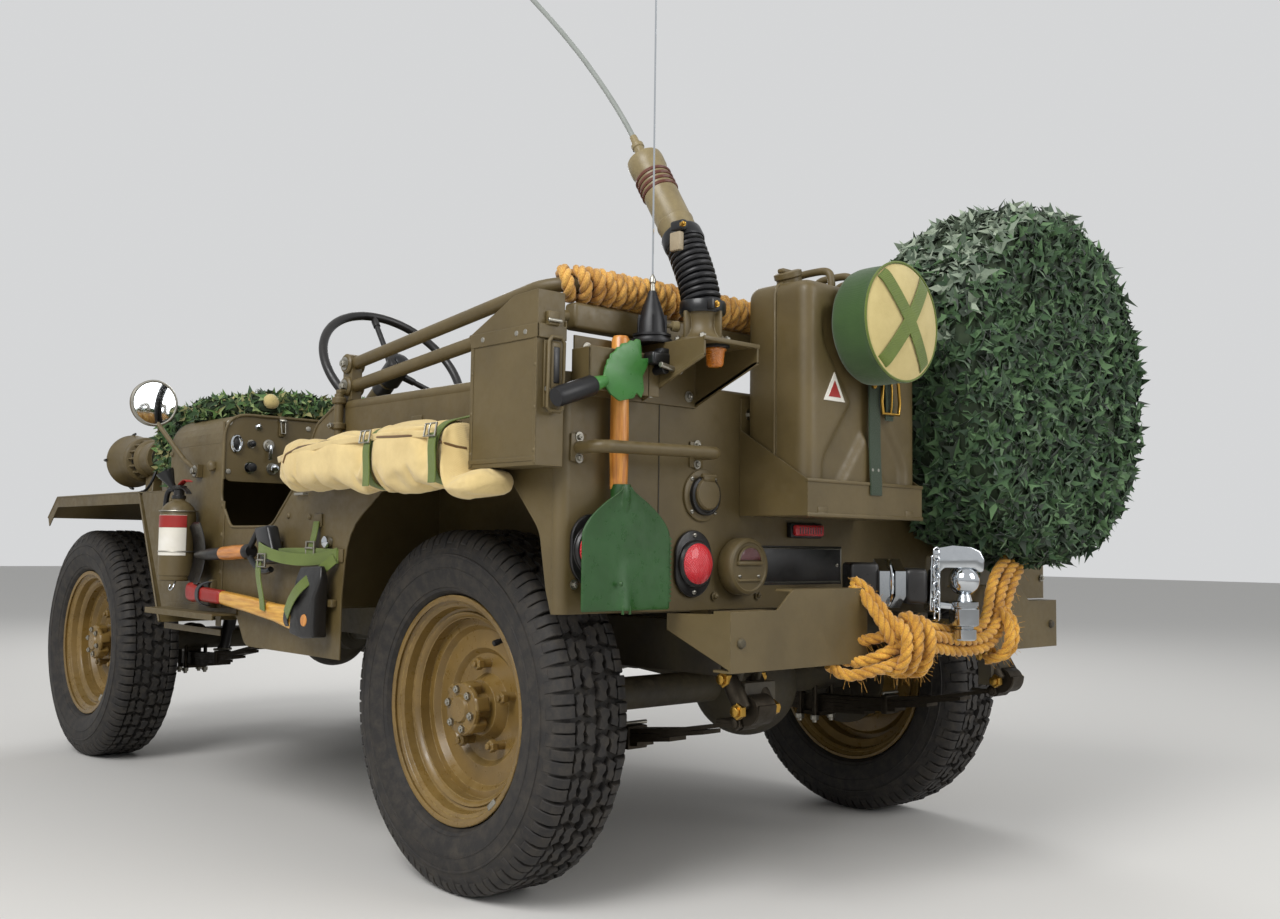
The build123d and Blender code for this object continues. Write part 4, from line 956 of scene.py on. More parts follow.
# %% [markdown]
# A bundle of the same kind of net is stuffed on the scuttle and down beside the
# bonnet. It is a heap, so its base is a soft pillow with deep dents. Pale lumps
# show between its leaves, as the real bundle has.
# %% Net bundle on the scuttle
def pillow(low, high, swell, cell=0.018):
    """A soft dented lump that fills a box on the drawing."""
    lump = block(low, high, 0)
    modified(lump, "REMESH", mode="VOXEL", voxel_size=cell)
    centre = (at(*low) + at(*high)) / 2
    half = (at(*high) - at(*low)) / 2
    for vertex in lump.data.vertices:
        u = [(vertex.co[i] - centre[i]) / half[i] for i in range(3)]
        far = max(0.001, sum(abs(a) ** 4 for a in u) ** 0.25)
        squeeze = max(abs(a) for a in u) / far
        dent = noise.noise(vertex.co * 19) * swell + noise.noise(vertex.co * 47) * swell * 0.5
        vertex.co = centre + Vector([u[i] * half[i] * squeeze for i in range(3)]) * (0.93 + dent)
    return lump


heap_parts, heap_spots = [], []
for low, high in (((885, 140, 991), (1032, 470, 1056)), ((885, 430, 991), (1032, 722, 1052)),
        ((1016, 622, 991), (1180, 757, 1046)), ((1196, 618, 822), (1405, 760, 1040))):
    lump = coated(pillow(low, high, 0.1), net_dark)
    lump_faces = [(f.center.copy(), f.normal.copy(), f.area) for f in lump.data.polygons]
    amount = int(4800 * sum(a for _, _, a in lump_faces))
    heap_spots += [(c + n * random.uniform(0, 0.006), n) for c, n,
        _ in random.choices(lump_faces, [a for _, _, a in lump_faces], k=amount)]
    heap_parts.append(lump)
heap_parts += dress(heap_leaves, strewn(heap_spots, 16, 27, 0.7))
for place, size in (((905, 300, 1042), 20), ((960, 610, 1036), 26), ((890, 660, 1030), 22),
        ((1010, 690, 1034), 24), ((930, 450, 1046), 18)):
    pad = lathe([(-size, 0), (-size * 0.8, size * 0.6), (0, size), (size * 0.7, size * 0.7), (size, 0)], place,
        (0.3, 0.8, 0.5), 14)
    finer(pad)
    heap_parts += dress(cream_canvas, pad)
bundle = united(heap_parts)
SCREEN_FOOT = at(1029, 612, 990)
for vertex in bundle.data.vertices:
    if SCREEN_FOOT.x < vertex.co.x < SCREEN_FOOT.x + 0.08 and vertex.co.y < SCREEN_FOOT.y:
        vertex.co.x = SCREEN_FOOT.x
kept("net_bundle", bundle, "net_cloth", "net_heap", angle=25)
for template in LEAVES:
    bpy.data.objects.remove(template)

# %% [markdown]
# Rope is three strands laid round each other. A line is followed, and three
# tubes wind about it, one turn in about seven radii. For the rope on the top
# bow that line is itself a close coil, a rope's thickness from turn to turn.
# %% Laid rope
def laid(line, radius, lay):
    """Three strands along a line of close places in metres; radius in millimetres."""
    step = radius * lay / PER_TURN / 1000
    dense, rest = [line[0]], 0.0
    for a, b in zip(line, line[1:]):
        length = (b - a).length
        along = step - rest
        while along < length:
            dense.append(a.lerp(b, along / length))
            along += step
        rest = length - (along - step)
    side = Vector(UP).cross(dense[1] - dense[0])
    side = side.normalized() if side.length > 1e-6 else Vector(AHEAD)
    strands = [[], [], []]
    for i, place in enumerate(dense):
        ahead = (dense[min(i + 1, len(dense) - 1)] - dense[max(i - 1, 0)]).normalized()
        side = (side - ahead * side.dot(ahead)).normalized()
        for k, strand in enumerate(strands):
            t = 2 * math.pi * (i / PER_TURN + k / 3)
            strand.append(place + (side * math.cos(t) + ahead.cross(side) * math.sin(t)) * radius * 0.52 / 1000)
    return piped_through(strands, radius * 0.50, sides=2)


PER_TURN = 11
coil = []
TURN, ROUND = 24.5, 23.5
BEND, BEND_END = 70.0, 702.0
along, t = BEND_END + 55.0, 0.0
while along > -618:
    off = (ROUND + 1.2 * noise.noise(Vector((along / 40, 0, 0))))
    turned = max(0.0, (along - BEND_END) / BEND)
    inward = off * math.cos(t) - BEND
    coil.append(at(-400 + BEND + inward * math.cos(turned), min(along, BEND_END) - inward * math.sin(turned),
        1130 + off * math.sin(t)))
    t += math.pi / 9
    along -= TURN / 18
bow_rope = coated(laid(coil, 12.2, 4.4), manila)
kept("rope_round_bow", bow_rope, "manila", "bow_rope", angle=60)


def along_spline(places, pieces=10):
    """Close places along a smooth NURBS line through a short list of control places."""
    obj = curve([[at(*place) for place in places]], "NURBS", pieces=pieces)
    found = [v.co.copy() for v in bpy.data.meshes.new_from_object(obj).vertices]
    bpy.data.objects.remove(obj)
    return found


TOW_RUNS = [[(-584, 196, 600), (-592, 178, 594), (-616, 176, 572), (-644, 176, 536), (-650, 150, 496),
    (-640, 120, 470)], [(-580, 184, 616), (-588, 164, 606), (-616, 158, 578), (-648, 156, 540),
    (-655, 130, 505), (-642, 96, 484)], [(-584, 262, 462), (-590, 250, 450), (-612, 236, 440), (-642, 210, 450),
    (-658, 160, 462), (-655, 90, 480), (-650, 20, 488), (-650, -60, 474), (-652, -150, 476), (-650, -215, 500),
    (-640, -262, 560), (-634, -300, 610), (-628, -340, 640)],
    [(-580, 236, 474), (-590, 204, 462), (-612, 182, 466), (-648, 168, 484), (-662, 100, 508), (-655, 20, 510),
    (-658, -60, 496), (-660, -150, 498), (-655, -200, 524), (-640, -238, 580), (-632, -276, 624),
    (-626, -322, 652)], [(-582, 212, 508), (-590, 186, 502), (-612, 164, 506), (-646, 148, 518),
    (-645, 80, 528), (-642, 10, 524), (-646, -70, 512), (-650, -140, 516), (-645, -180, 540), (-632, -215, 596),
    (-626, -250, 636), (-620, -300, 660)], [(-626, 120, 444), (-656, 122, 440), (-682, 126, 470),
    (-684, 118, 510), (-668, 104, 544), (-636, 98, 552), (-616, 96, 520), (-614, 92, 470), (-640, 84, 438),
    (-672, 86, 448), (-686, 84, 486), (-678, 72, 524), (-650, 64, 546), (-622, 60, 530)],
    [(-622, 150, 452), (-660, 152, 446), (-682, 158, 474), (-680, 148, 508), (-662, 138, 534),
    (-634, 130, 540)], [(-630, -196, 452), (-668, -200, 456), (-684, -206, 494), (-676, -212, 534),
    (-648, -216, 556), (-622, -214, 536), (-618, -212, 486), (-640, -222, 452), (-672, -226, 468),
    (-680, -232, 506), (-664, -238, 546), (-634, -240, 560)], ]
tow = [laid(along_spline(route), 11.5, 5.2) for route in TOW_RUNS]
fray = []
for route in TOW_RUNS:
    line = along_spline(route)
    for _ in range(int(len(line) * 1.1)):
        root = line[random.randrange(len(line))]
        out = Vector((random.uniform(-1, 0.2), random.uniform(-1, 1), random.uniform(-1, 1))).normalized()
        droop = Vector((0, 0, -random.uniform(0.001, 0.008)))
        reach = (0.009, 0.015, random.uniform(0.017, 0.027))
        fray.append([root + out * far + droop * (far / 0.02) ** 2 for far in reach])
tow.append(piped_through(fray, 0.28, sides=0, caps=False))
kept("knotted_tow_rope", coated(united(tow), yellow_rope), "yellow_rope", "tow_rope", angle=60)


# %% [markdown]
# The big aerial stands on a flared foot. Above a clamp comes a coil spring in a
# rubber sleeve, then a thick tube with three varnished bindings, and a thin rod
# that bends forward. All of it leans, so one smooth line is laid first and the
# parts are strung along it. The spring is a wire wound about that line.
# %% Sprung aerial
TAIL = -440
MAST = (TAIL - 80, 538)
DECK = 1030


def wound(line, radius, pitch, per_turn=14):
    """Places of a wire wound round a line of places in metres; sizes in millimetres."""
    length = sum((b - a).length for a, b in zip(line, line[1:])) * 1000
    amount = int(length / pitch * per_turn)
    made, side = [], Vector(LEFT)
    for i in range(amount + 1):
        goal = length * i / amount / 1000
        run = 0.0
        for a, b in zip(line, line[1:]):
            step = (b - a).length
            if run + step >= goal - 1e-9:
                ahead = (b - a).normalized()
                here = a + ahead * (goal - run)
                break
            run += step
        side = (side - ahead * side.dot(ahead)).normalized()
        t = 2 * math.pi * i / per_turn
        made.append(here + (side * math.cos(t) + ahead.cross(side) * math.sin(t)) * radius / 1000)
    return made


def by_mast(x, z, y=0):
    return (MAST[0] + x, MAST[1] + y, DECK + z)


lean = along_spline([by_mast(0, 60), by_mast(6, 95), by_mast(24, 145), by_mast(52, 200)])
tip = Vector(by_mast(160, 375))
foot = capped([(0, 48), (5, 50), (9, 48), (11, 42), (18, 36), (30, 31), (46, 32), (58, 37), (62, 37)],
    (*MAST, DECK + 0.3), sides=48)
parts = [coated(foot, olive)]
for i in range(4):
    t = math.radians(45 + 90 * i)
    parts += dress(zinc, nut(by_mast(43 * math.cos(t), 9, 43 * math.sin(t)), UP, 11, 7, 3, 2))
rib = block(by_mast(-46, 10, -3), by_mast(-28, 58, 3), 2)
parts += dress(olive, *copied(rib, [turned_about((*MAST, 0), "Z", 90 * i) for i in range(4)]))
parts += dress(black_plastic, lathe([(56, 34), (56, 40), (60, 41.5), (74, 41.5), (78, 40), (78, 34)],
    (*MAST, DECK), sides=48))
parts += dress(brass, nut(by_mast(-38, 68, 10), (-1, 0.2, 0), 12, 9, 4, 4))
parts += dress(black_plastic, block(by_mast(-47, 58, 16), by_mast(-28, 77, 24), 2))
sleeve = piped_through([lean], 29)
parts += dress(black_rubber, sleeve, piped_through([wound(lean, 31.5, 11.2, 18)], 5.0, sides=3))
upper_clamp_at = Vector(drawn(lean[-1]))
slope = (tip - upper_clamp_at).normalized()
parts += dress(black_plastic, lathe([(-14, 31), (-14, 37), (-10, 38.5), (8, 38.5), (12, 37), (12, 31)],
    upper_clamp_at, slope, 40))
tube_long = (tip - upper_clamp_at).length
cylinder = [(10, 0), (10, 31), (14, 33.5), (34, 33.5), (36, 34.5), (40, 34.5), (42, 33)] + [(tube_long + a, r)
    for a, r in ((-38, 32.5), (-34, 34.5), (-14, 35), (-6, 34), (-2, 27), (-1, 14), (-1, 0))]
parts += dress(aerial_tube, lathe(cylinder, upper_clamp_at, slope, 40))
for back in (94, 82, 70, 58):
    start = tube_long - back
    parts += dress(aerial_ring, lathe([(start, 31), (start + 1, 34.4), (start + 4, 35.6), (start + 7, 34.4),
        (start + 8, 31)], upper_clamp_at, slope, 40))
tag_at = upper_clamp_at + Vector((-18, 34, 0))
parts += dress(horn_beige, block(tag_at + Vector((-16, -4, -30)), tag_at + Vector((10, 8, 4)), 3, 2))
parts += dress(black_plastic, block(tag_at + Vector((-20, -10, 6)), tag_at + Vector((14, 4, 26)), 5, 3))
parts += dress(brass, nut(tag_at + Vector((-14, 0, 16)), (-1, 0.4, 0), 10, 8, 3, 5))
top_at = upper_clamp_at + slope * (tube_long - 1)
parts += dress(aerial_tube, capped([(-2, 13), (6, 14), (10, 10), (26, 10), (28, 12), (36, 12), (40, 8),
    (58, 7)], top_at, slope, 20))
rod = [by_mast(400, 690), by_mast(700, 980), by_mast(1050, 1190), by_mast(1416, 1298)]
rod_line = along_spline([top_at + slope * 50, top_at + slope * 130, *rod], 14)
half_way = len(rod_line) // 2
lower = piped_through([rod_line[:half_way + 1]], 5.2)
upper = piped_through([rod_line[half_way:]], 3.6)
joint_at = drawn(rod_line[half_way])
parts += dress(aerial_rod_paint, lower, upper)
parts += dress(brass, capped([(-22, 6.4), (-18, 7), (18, 7), (22, 5)], joint_at,
    rod_line[half_way + 1] - rod_line[half_way], 16),
    lathe([(-5, 0), (-4, 4), (0, 6), (4, 4), (5, 0)], drawn(rod_line[-1]), (1, 0, 0.3), 16))
# The short whip stands on a ribbed rubber cone.
WHIP = (TAIL - 27, 611)
parts += dress(black_rubber, lathe([(0, 0), (0, 36), (4, 37), (8, 36), (9, 31), (12, 31), (13, 34), (17, 34),
    (18, 27), (40, 25), (66, 17), (84, 10), (94, 7), (98, 0)], (*WHIP, DECK + 0.3), sides=36))
for i in range(6):
    fin = block((WHIP[0] - 29, WHIP[1] - 1, DECK + 18), (WHIP[0] - 20, WHIP[1] + 1, DECK + 50), 0.6, 1)
    fin.data.transform(turned_about((*WHIP, 0), "Z", 60 * i + 20))
    parts += dress(black_rubber, fin)
parts += dress(aerial_tube, capped([(0, 4), (12, 4), (13, 9), (24, 10), (26, 8)],
    (WHIP[0] - 16, WHIP[1] - 17, DECK + 34), (-0.4, -1, 0), 18))
parts += dress(chrome, bar((*WHIP, DECK + 92), (*WHIP, 2046), 1.7, 0.4, 10))
parts += dress(zinc, lathe([(0, 0), (0, 5), (14, 4.4), (16, 6), (22, 6), (30, 2.4), (34, 0)],
    (*WHIP, DECK + 94), sides=16))
parts += dress(chrome, lathe([(-4, 0), (-3, 3), (0, 4), (3, 3), (4, 0)], (*WHIP, 2046), sides=12))
kept("sprung_aerial_and_whip", parts, "aerial_rubber", "aerials")

# %% [markdown]
# The aerial shelf is folded and bolted plate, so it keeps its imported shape. It
# gets a folded lip, bolts with washers and the red marker that hangs under it.
# %% Aerial shelf fittings
def bolt(place, axis, flats=13):
    washer = capped([(0, flats * 0.95), (1.6, flats * 0.95)], place, axis, 16)
    return united(washer, nut(Vector(place) + Vector(axis).normalized() * 1.5, axis, flats, flats * 0.55,
        flats * 0.24, 2))


shelf = [coated(bolt((TAIL - 4, y, z), BACK, 11), zinc) for y,
    z in ((495, 950), (592, 950), (650, 945), (740, 945), (650, 1010), (740, 1010))]
shelf += dress(olive, block((-600, 474, 1024), (-594, 613, 1031.5), 1.5))
for y in (474, 608):
    shelf += dress(olive, cut([(TAIL - 4, 934), (TAIL - 4, 940), (-590, 1001), (-597, 1001), (-597, 996)], "y",
        y, y + 5, 0.8))
shelf += dress(amber_lens, lathe([(0, 0), (0, 19), (8, 20), (12, 17), (34, 15), (38, 11), (39, 0)],
    (-558, 545, 1026), (0, 0, -1), 24))
shelf += dress(black_enamel, capped([(0, 26), (5, 26), (6, 20)], (-558, 545, 1026), (0, 0, -1), 24))
shelf += dress(olive, block((-489, 636, 934), (-486, 772, 1008), 1.2, 1),
    block((-489, 769, 936), (-441, 772, 1006), 1.2, 1), block((-489, 612, 934), (-486, 640, 1004), 1.2, 1))
kept("aerial_shelf_fittings", shelf, "olive_paint")

# %% [markdown]
# The fuel can is pressed steel: two shells with a sunken cross for stiffness,
# welded along a raised seam. A rounded block is remeshed fine enough for its
# face points to be pushed in along the cross. Three grips and a spout follow.
# %% Fuel can
CAN = (-603, -446, 2, 347, 738.3, 1175)
can = block((CAN[0] + 1, CAN[2] + 1, CAN[4]), (CAN[1], CAN[3] - 1, CAN[5]), 24, 5)
modified(can, "REMESH", mode="VOXEL", voxel_size=0.0055)
for vertex in can.data.vertices:
    x, y, z = drawn(vertex.co)
    for face_x, inward in ((CAN[0] + 1, 1), (CAN[1], -1)):
        if abs(x - face_x) < 2.5 and 30 < y < 320 and 765 < z < 1150:
            u, v = (y - 174.5) / 134, (z - 952) / 178
            stroke = min(abs(u - v), abs(u + v)) * 88
            sunk = max(0.0, min(1.0, (34 - stroke) / 12)) * max(0.0, min(1.0, (1.0 - abs(u)) * 8)) * max(0.0,
                min(1.0, (1.0 - abs(v)) * 8))
            vertex.co.x += inward * 0.0095 * sunk * sunk * (3 - 2 * sunk)
modified(can, "SMOOTH", factor=0.5, iterations=1)
fuel = [coated(can, olive)]
seam_x = -524
corner = [(CAN[2] - 1, CAN[4] + 24), (CAN[2] - 1, CAN[5] - 24), (CAN[2] + 6, CAN[5] - 6),
    (CAN[2] + 24, CAN[5] + 1), (CAN[3] - 24, CAN[5] + 1), (CAN[3] - 6, CAN[5] - 6), (CAN[3] + 1, CAN[5] - 24),
    (CAN[3] + 1, CAN[4] + 24), (CAN[3] - 6, CAN[4] + 6), (CAN[3] - 24, CAN[4] + 1), (CAN[2] + 24, CAN[4] + 1),
    (CAN[2] + 6, CAN[4] + 6)]
fuel += dress(olive, tube([(seam_x, y, z) for y, z in corner], 3.2, "POLY", closed=True))
GRIP = [(-572, 1168), (-572, 1196), (-560, 1208), (-525, 1209), (-490, 1208), (-478, 1196), (-478, 1168)]
for y in (110, 175, 240):
    fuel += dress(olive, tube([(x, y, z) for x, z in GRIP], 7.5))
fuel += dress(olive, capped([(0, 30), (12, 30), (14, 24), (22, 24), (24, 27), (34, 27), (36, 22)],
    (-524, 302, 1166), (0, 0.35, 1), 28), block((-532, 292, 1194), (-516, 334, 1203), 3))
kept("pressed_fuel_can", fuel, "olive_paint", "jerrycan", angle=50)


def triangle(y, z, size, depth, soft):
    low = z - size * 0.29
    return cut([(y - size / 2, low), (y, low + size * 0.87), (y + size / 2, low)], "x", -603.4 - depth, -601.5,
        soft)


sign = [coated(triangle(270, 968, 62, 0.4, 0), white_enamel),
    coated(triangle(270, 968, 36, 0.9, 0), signal_red)]
kept("fuel_can_triangle", sign, "olive_paint")
HOLD = [(-520, 1180), (-560, 1182), (-590, 1174), (-604, 1150), (-606, 1060), (-607, 960), (-607, 860),
    (-611, 805), (-611, 778)]
hold = [coated(strap([(x, 152, z) for x, z in HOLD], LEFT, 36, 3), bottle_webbing)]
hold += dress(bottle_webbing, strap([(-609, 112, 1010), (-611, 110, 980), (-611, 108, 950), (-609, 108, 925)],
    LEFT, 26, 2.4))
hold += dress(brass, tube([(-614, 84, 938), (-614, 80, 960), (-614, 84, 998), (-614, 90, 1006),
    (-614, 128, 1006), (-614, 134, 998), (-614, 138, 960), (-614, 134, 938)], 3.4, "POLY", closed=True),
    tube([(-614, 110, 1006), (-620, 110, 976), (-615, 110, 940)], 2.4),
    nut((-609, 158, 990), BACK, 12, 5, 3, 3))
for y in (144, 162):
    hold += dress(zinc, lathe([(0, 0), (0, 5.5), (1.5, 5), (2.6, 0)], (-609, y, 826), BACK, 14))
kept("fuel_can_strap", hold, "black_plastic")
tray = [coated(block((-610.5, -5, 796), (-603, 354, 803), 2.2), olive),
    coated(block((-610.5, -5, 733), (-606, 354, 741), 2), olive)]
for y in (20, 329):
    tray += dress(zinc, bolt((TAIL - 3, y, 930), BACK, 11))
for y in (40, 310):
    tray += dress(olive, block((-609.5, y - 14, 737), (-607, y + 14, 752), 1))
kept("fuel_can_tray_lips", tray, "olive_paint")

# %% [markdown]
# The square shovel has a pressed blade with a domed top, a raised rib at its
# foot and a saw edge on one side. Its sheet is a grid drawn in to the outline,
# cupped, and then thickened. The ash handle passes up behind the folding tool.
# %% Shovel and folding tool on the rear panel
def pressed(columns, rows_up, half_width, z0, z1, y_mid, x_face, cup, rib):
    obj = sheet(columns, rows_up)
    for vertex in obj.data.vertices:
        u, v = vertex.co.x, (vertex.co.y + 1) / 2
        z = z0 + (z1 - z0) * v
        y = y_mid + u * half_width(v)
        hollow = cup * (1 - u * u)
        ridge = rib * math.exp(-(u / 0.13) ** 2) * max(0.0, 1 - v / 0.42)
        vertex.co = at(x_face + hollow - ridge, y, z)
    outward(obj)
    modified(obj, "SOLIDIFY", thickness=0.0026, offset=0)
    return finer(obj)


def dome(v):
    return 101 if v < 0.6 else 101 * max(0.1, 1 - ((v - 0.6) / 0.4) ** 1.7)


HANDLE_Y = 680
blade = pressed(22, 30, dome, 566, 776, HANDLE_Y, -486, 5, 9)
tool = [coated(blade, deep_green)]
tooth = cut([(HANDLE_Y - 99, 578), (HANDLE_Y - 105, 582), (HANDLE_Y - 99, 586)], "x", -487.6, -484.6, 0)
tool += [coated(t, deep_green) for t in copied(tooth, [moved(z=7.6 * i) for i in range(15)])]
tool += dress(deep_green, lathe([(-3, 0), (0, 4.5), (1.5, 0)], (-492, HANDLE_Y + 18, 612), AHEAD, 14),
    capped([(0, 12), (16, 17), (44, 18), (54, 17)], (-468, HANDLE_Y, 726), UP, 24))
tool += dress(shovel_ash, lathe([(0, 0), (0, 15), (60, 16.5), (200, 15.5), (258, 15.5), (264, 12), (266, 0)],
    (-464, HANDLE_Y + 2, 772), UP, 28))
for z in (592, 744):
    tool += dress(olive, block((-482, HANDLE_Y - 14, z - 6), (-440.5, HANDLE_Y + 14, z + 6), 2))
for y in (HANDLE_Y - 8, HANDLE_Y + 8):
    tool += dress(deep_green, bar((-486, y, 560), (-486, y, 574), 2.4, 0.5, 10))
kept("rear_shovel_piece", tool, "green_paint", "rear_shovel", angle=40)


edge_up = [(668, 1028), (703, 1018), (729, 999), (746, 973)]
outline = []
for (y0, z0), (y1, z1) in zip(edge_up, edge_up[1:]):
    outline += [(y0 + (y1 - y0) * k / 5 + (2.2 if k % 2 else 0),
        z0 + (z1 - z0) * k / 5 + (2.2 if k % 2 else 0)) for k in range(5)]
outline += [(746, 973), (751, 947), (733, 928), (713, 918), (681, 926), (675, 936), (664, 928), (658, 941),
    (661, 966), (651, 983), (646, 999), (664, 996), (665, 1012)]
head = cut(outline, "x", -500, -495, 1.6, 2)
fold = [coated(head, pick_green)]
fold += dress(pick_green, capped([(0, 9), (20, 12.5), (26, 12.5)], (-496, 744, 950), (0, 1, -0.36), 22))
fold += dress(black_rubber, capped([(0, 15), (4, 17), (78, 17), (84, 15)], (-494, 768, 941), (0, 1, -0.36), 28))
fold += dress(black_plastic, block((-514, 600, 988), (-486, 650, 1010), 5, 3),
    cut([(640, 1004), (628, 1018), (590, 1018), (584, 1004), (592, 996)], "x", -512, -494, 2.5, 2))
fold += dress(zinc, bar((-522, 642, 986), (-522, 592, 978), 5))
fold += dress(black_plastic, bar((-516, 622, 980), (-486, 622, 980), 8))
kept("folding_tool_piece", fold, "green_paint", "folding_pick", angle=40)

# %% [markdown]
# Lamps on the rear panel: two round red lamps on black oval bezels, a drop lamp
# with a D window, a socket under a sprung flap, and a thin red marker over the
# plate. The plate is plain black, with nothing written on it.
# %% Rear lamps and plate
WALL = TAIL - 0.3
lamp_parts = []


def oval(y, z, wide, high, x0, x1, soft=2.0):
    ring = []
    for i in range(36):
        t = 2 * math.pi * i / 36
        ring.append((y + wide / 2 * math.cos(t), z + (high - wide) / 2 * (1
            if math.sin(t) > 0 else -1) + wide / 2 * math.sin(t)))
    return cut(ring, "x", x0, x1, soft, 2)


def screw(y, z, x, size=5):
    head = lathe([(0, 0), (0, size), (size * 0.5, size * 0.8), (size * 0.7, 0)], (x, y, z), BACK, 14)
    slot = block((x - size * 0.78, y - size * 0.75, z - 0.6), (x - size * 0.4, y + size * 0.75, z + 0.6), 0)
    return united(coated(head, zinc), coated(slot, black_enamel))


for y, z in ((724, 668), (480, 645)):
    lamp_parts += dress(black_enamel, oval(y, z, 92, 122, WALL, WALL - 8, 3),
        lathe([(6, 0), (6, 42), (14, 43), (18, 40), (18, 37), (8, 37)], (WALL, y, z), BACK, 44))
    lamp_parts += dress(red_lens, lathe([(8, 0), (8, 37.5), (19, 37), (25, 30), (28, 16), (28.6, 0)],
        (WALL, y, z), BACK, 44))
    lamp_parts += [screw(y, z + s * 52, WALL - 8, 4.5) for s in (1, -1)]
lamp_parts += dress(olive, capped([(0, 50), (6, 54), (30, 54), (34, 52), (36, 46), (34, 44)], (WALL, 360, 640),
    BACK, 48))


def arch(wide, high, z):
    turns = [math.pi * i / 12 for i in range(13)]
    return [(360 - wide * math.cos(t), z + high * math.sin(t)) for t in turns]


lamp_parts += dress(dark_lens, cut(arch(29, 24, 652), "x", WALL - 34, WALL - 38, 1.2, 2))
lamp_parts += dress(olive, tube([(WALL - 37, y, z) for y, z in arch(31, 26, 651)], 2.2, "POLY"),
    block((WALL - 40, 326, 642), (WALL - 33, 394, 650), 2.5),
    block((WALL - 38, 330, 612), (WALL - 33, 390, 616), 1.2))
lamp_parts += [screw(360 + dy, 622, WALL - 34, 3.5) for dy in (-26, 26)]
lamp_parts += dress(olive, capped([(0, 48), (4, 48), (5, 46)], (WALL, 455, 770), BACK, 44))
lamp_parts += dress(black_enamel, capped([(4, 36), (8, 37), (14, 37), (16, 33), (13, 30)], (WALL, 455, 770),
    BACK, 40))
lamp_parts += dress(olive, capped([(10, 30), (18, 30), (21, 27), (22, 10)], (WALL, 455, 772), (-1, 0, 0.05),
    36), bar((WALL - 18, 437, 806), (WALL - 18, 473, 806), 4),
    block((WALL - 22, 440, 796), (WALL - 14, 470, 806), 2))
lamp_parts += [screw(455 + dy, 770 + dz, WALL - 5, 4.5) for dy in (-30, 30) for dz in (-30, 30)]
lamp_parts += dress(black_plastic, block((WALL - 12, 116, 696), (WALL, 214, 726), 3, 2))
lamp_parts += dress(red_lens, block((WALL - 22, 121, 700), (WALL - 10, 209, 722), 5, 3))
lamp_parts += [coated(block((WALL - 23, y, 704), (WALL - 21, y + 3, 718), 0.5, 1), dark_lens)
    for y in range(132, 204, 8)]
kept("rear_lamp_set", lamp_parts, "lamp_set", "rear_lamps")
plate = [coated(block((WALL - 2.2, 42, 604), (WALL, 296, 680), 1.2), black_enamel)]
edge = alone(block((WALL - 3.2, 45, 607), (WALL - 1.6, 293, 677), 0))
bpy.ops.object.mode_set(mode="EDIT")
bpy.ops.mesh.select_all(action="SELECT")
bpy.ops.mesh.inset(thickness=0.0022, depth=0, use_individual=True)
bpy.ops.object.mode_set(mode="OBJECT")
modified(edge, "WIREFRAME", thickness=0.0012)
plate += dress(zinc, edge)
plate += [screw(y, 642, WALL - 2.4, 4) for y in (58, 280)]
kept("blank_plate", plate, "steel_black", "number_plate")

# %% [markdown]
# The tow hitch is chrome: a swivel with big nuts, an upper jaw, and below it a
# ball on its collar and nut. A short chain hangs beside it. The chain is one
# ring, stretched to a link, copied with each copy turned a quarter.
# %% Chrome hitch and chain
hitch = [coated(block((-600, -38, 500), (-411, 38, 552), 5, 2), olive_dull)]
SWIVEL = (-570, 97, 610)
bright = [nut((SWIVEL[0] + off, *SWIVEL[1:]), BACK, 84, 24, 0.5, 1) for off in (4, -27)]
bright.append(capped([(20, 47), (22, 49), (25, 49), (27, 47)], (SWIVEL[0] + 4, *SWIVEL[1:]), BACK, 44))
bright.append(cut([(-670, 556), (-682, 556), (-690, 606), (-692, 632), (-702, 641), (-760, 641), (-774, 632),
    (-780, 636), (-782, 658), (-774, 675), (-756, 683), (-718, 686), (-690, 681), (-674, 664)], "y", 78, 116, 7,
    4))
bright.append(cut([(-670, 578), (-670, 564), (-718, 560), (-740, 564), (-740, 572), (-718, 572)], "y", 90, 104,
    3, 2))
BALL = (SWIVEL[0] - 176, SWIVEL[1], 617)
ball_rows = [(-117, 0), (-117, 21), (-114, 24), (-96, 24), (-94, 19), (-91, 19), (-89, 27), (-87, 29),
    (-56, 29), (-53, 26), (-51, 26), (-50, 28), (-42, 28), (-40, 16), (-33, 14), (-28, 12.5)]
ball_rows += [(30 * math.sin(math.radians(a)), 30 * math.cos(math.radians(a)))
    for a in range(-64, 90, 8)] + [(30, 0)]
bright.append(lathe(ball_rows, BALL, UP, 48))
ring = tube([(7 * math.cos(math.pi * i / 8), (6 if i < 8 else -6) + 7 * math.sin(math.pi * i / 8), 0)
    for i in range(16)], 2.3, "POLY", 3, True)
ring.data.transform(Matrix.Translation((AXLE, 0, 0)))
links = [Matrix.Translation(at(SWIVEL[0] - 112, 125, 668 - 16.5 * i)) @ Matrix.Rotation(math.radians(90), 4,
    "X") @ Matrix.Rotation(math.radians(90 * (i % 2) + 25), 4, "Y") for i in range(8)]
bright += copied(ring, links)
bright.append(block((SWIVEL[0] - 118, 116, 660), (SWIVEL[0] - 106, 130, 676), 3))
black = [block((SWIVEL[0] - 96, 68, 570), (SWIVEL[0] - 51, 126, 640), 10, 3),
    block((SWIVEL[0] + 2, 60, 566), (SWIVEL[0] + 60, 132, 650), 8, 3)]
for pieces, finish in ((bright, chrome), (black, black_enamel)):
    swung = united(pieces)
    swung.data.transform(turned_about(SWIVEL, "Z", 51.5))
    hitch += dress(finish, swung)
kept("chrome_hitch", hitch, "chrome", "ball_hitch", angle=40)

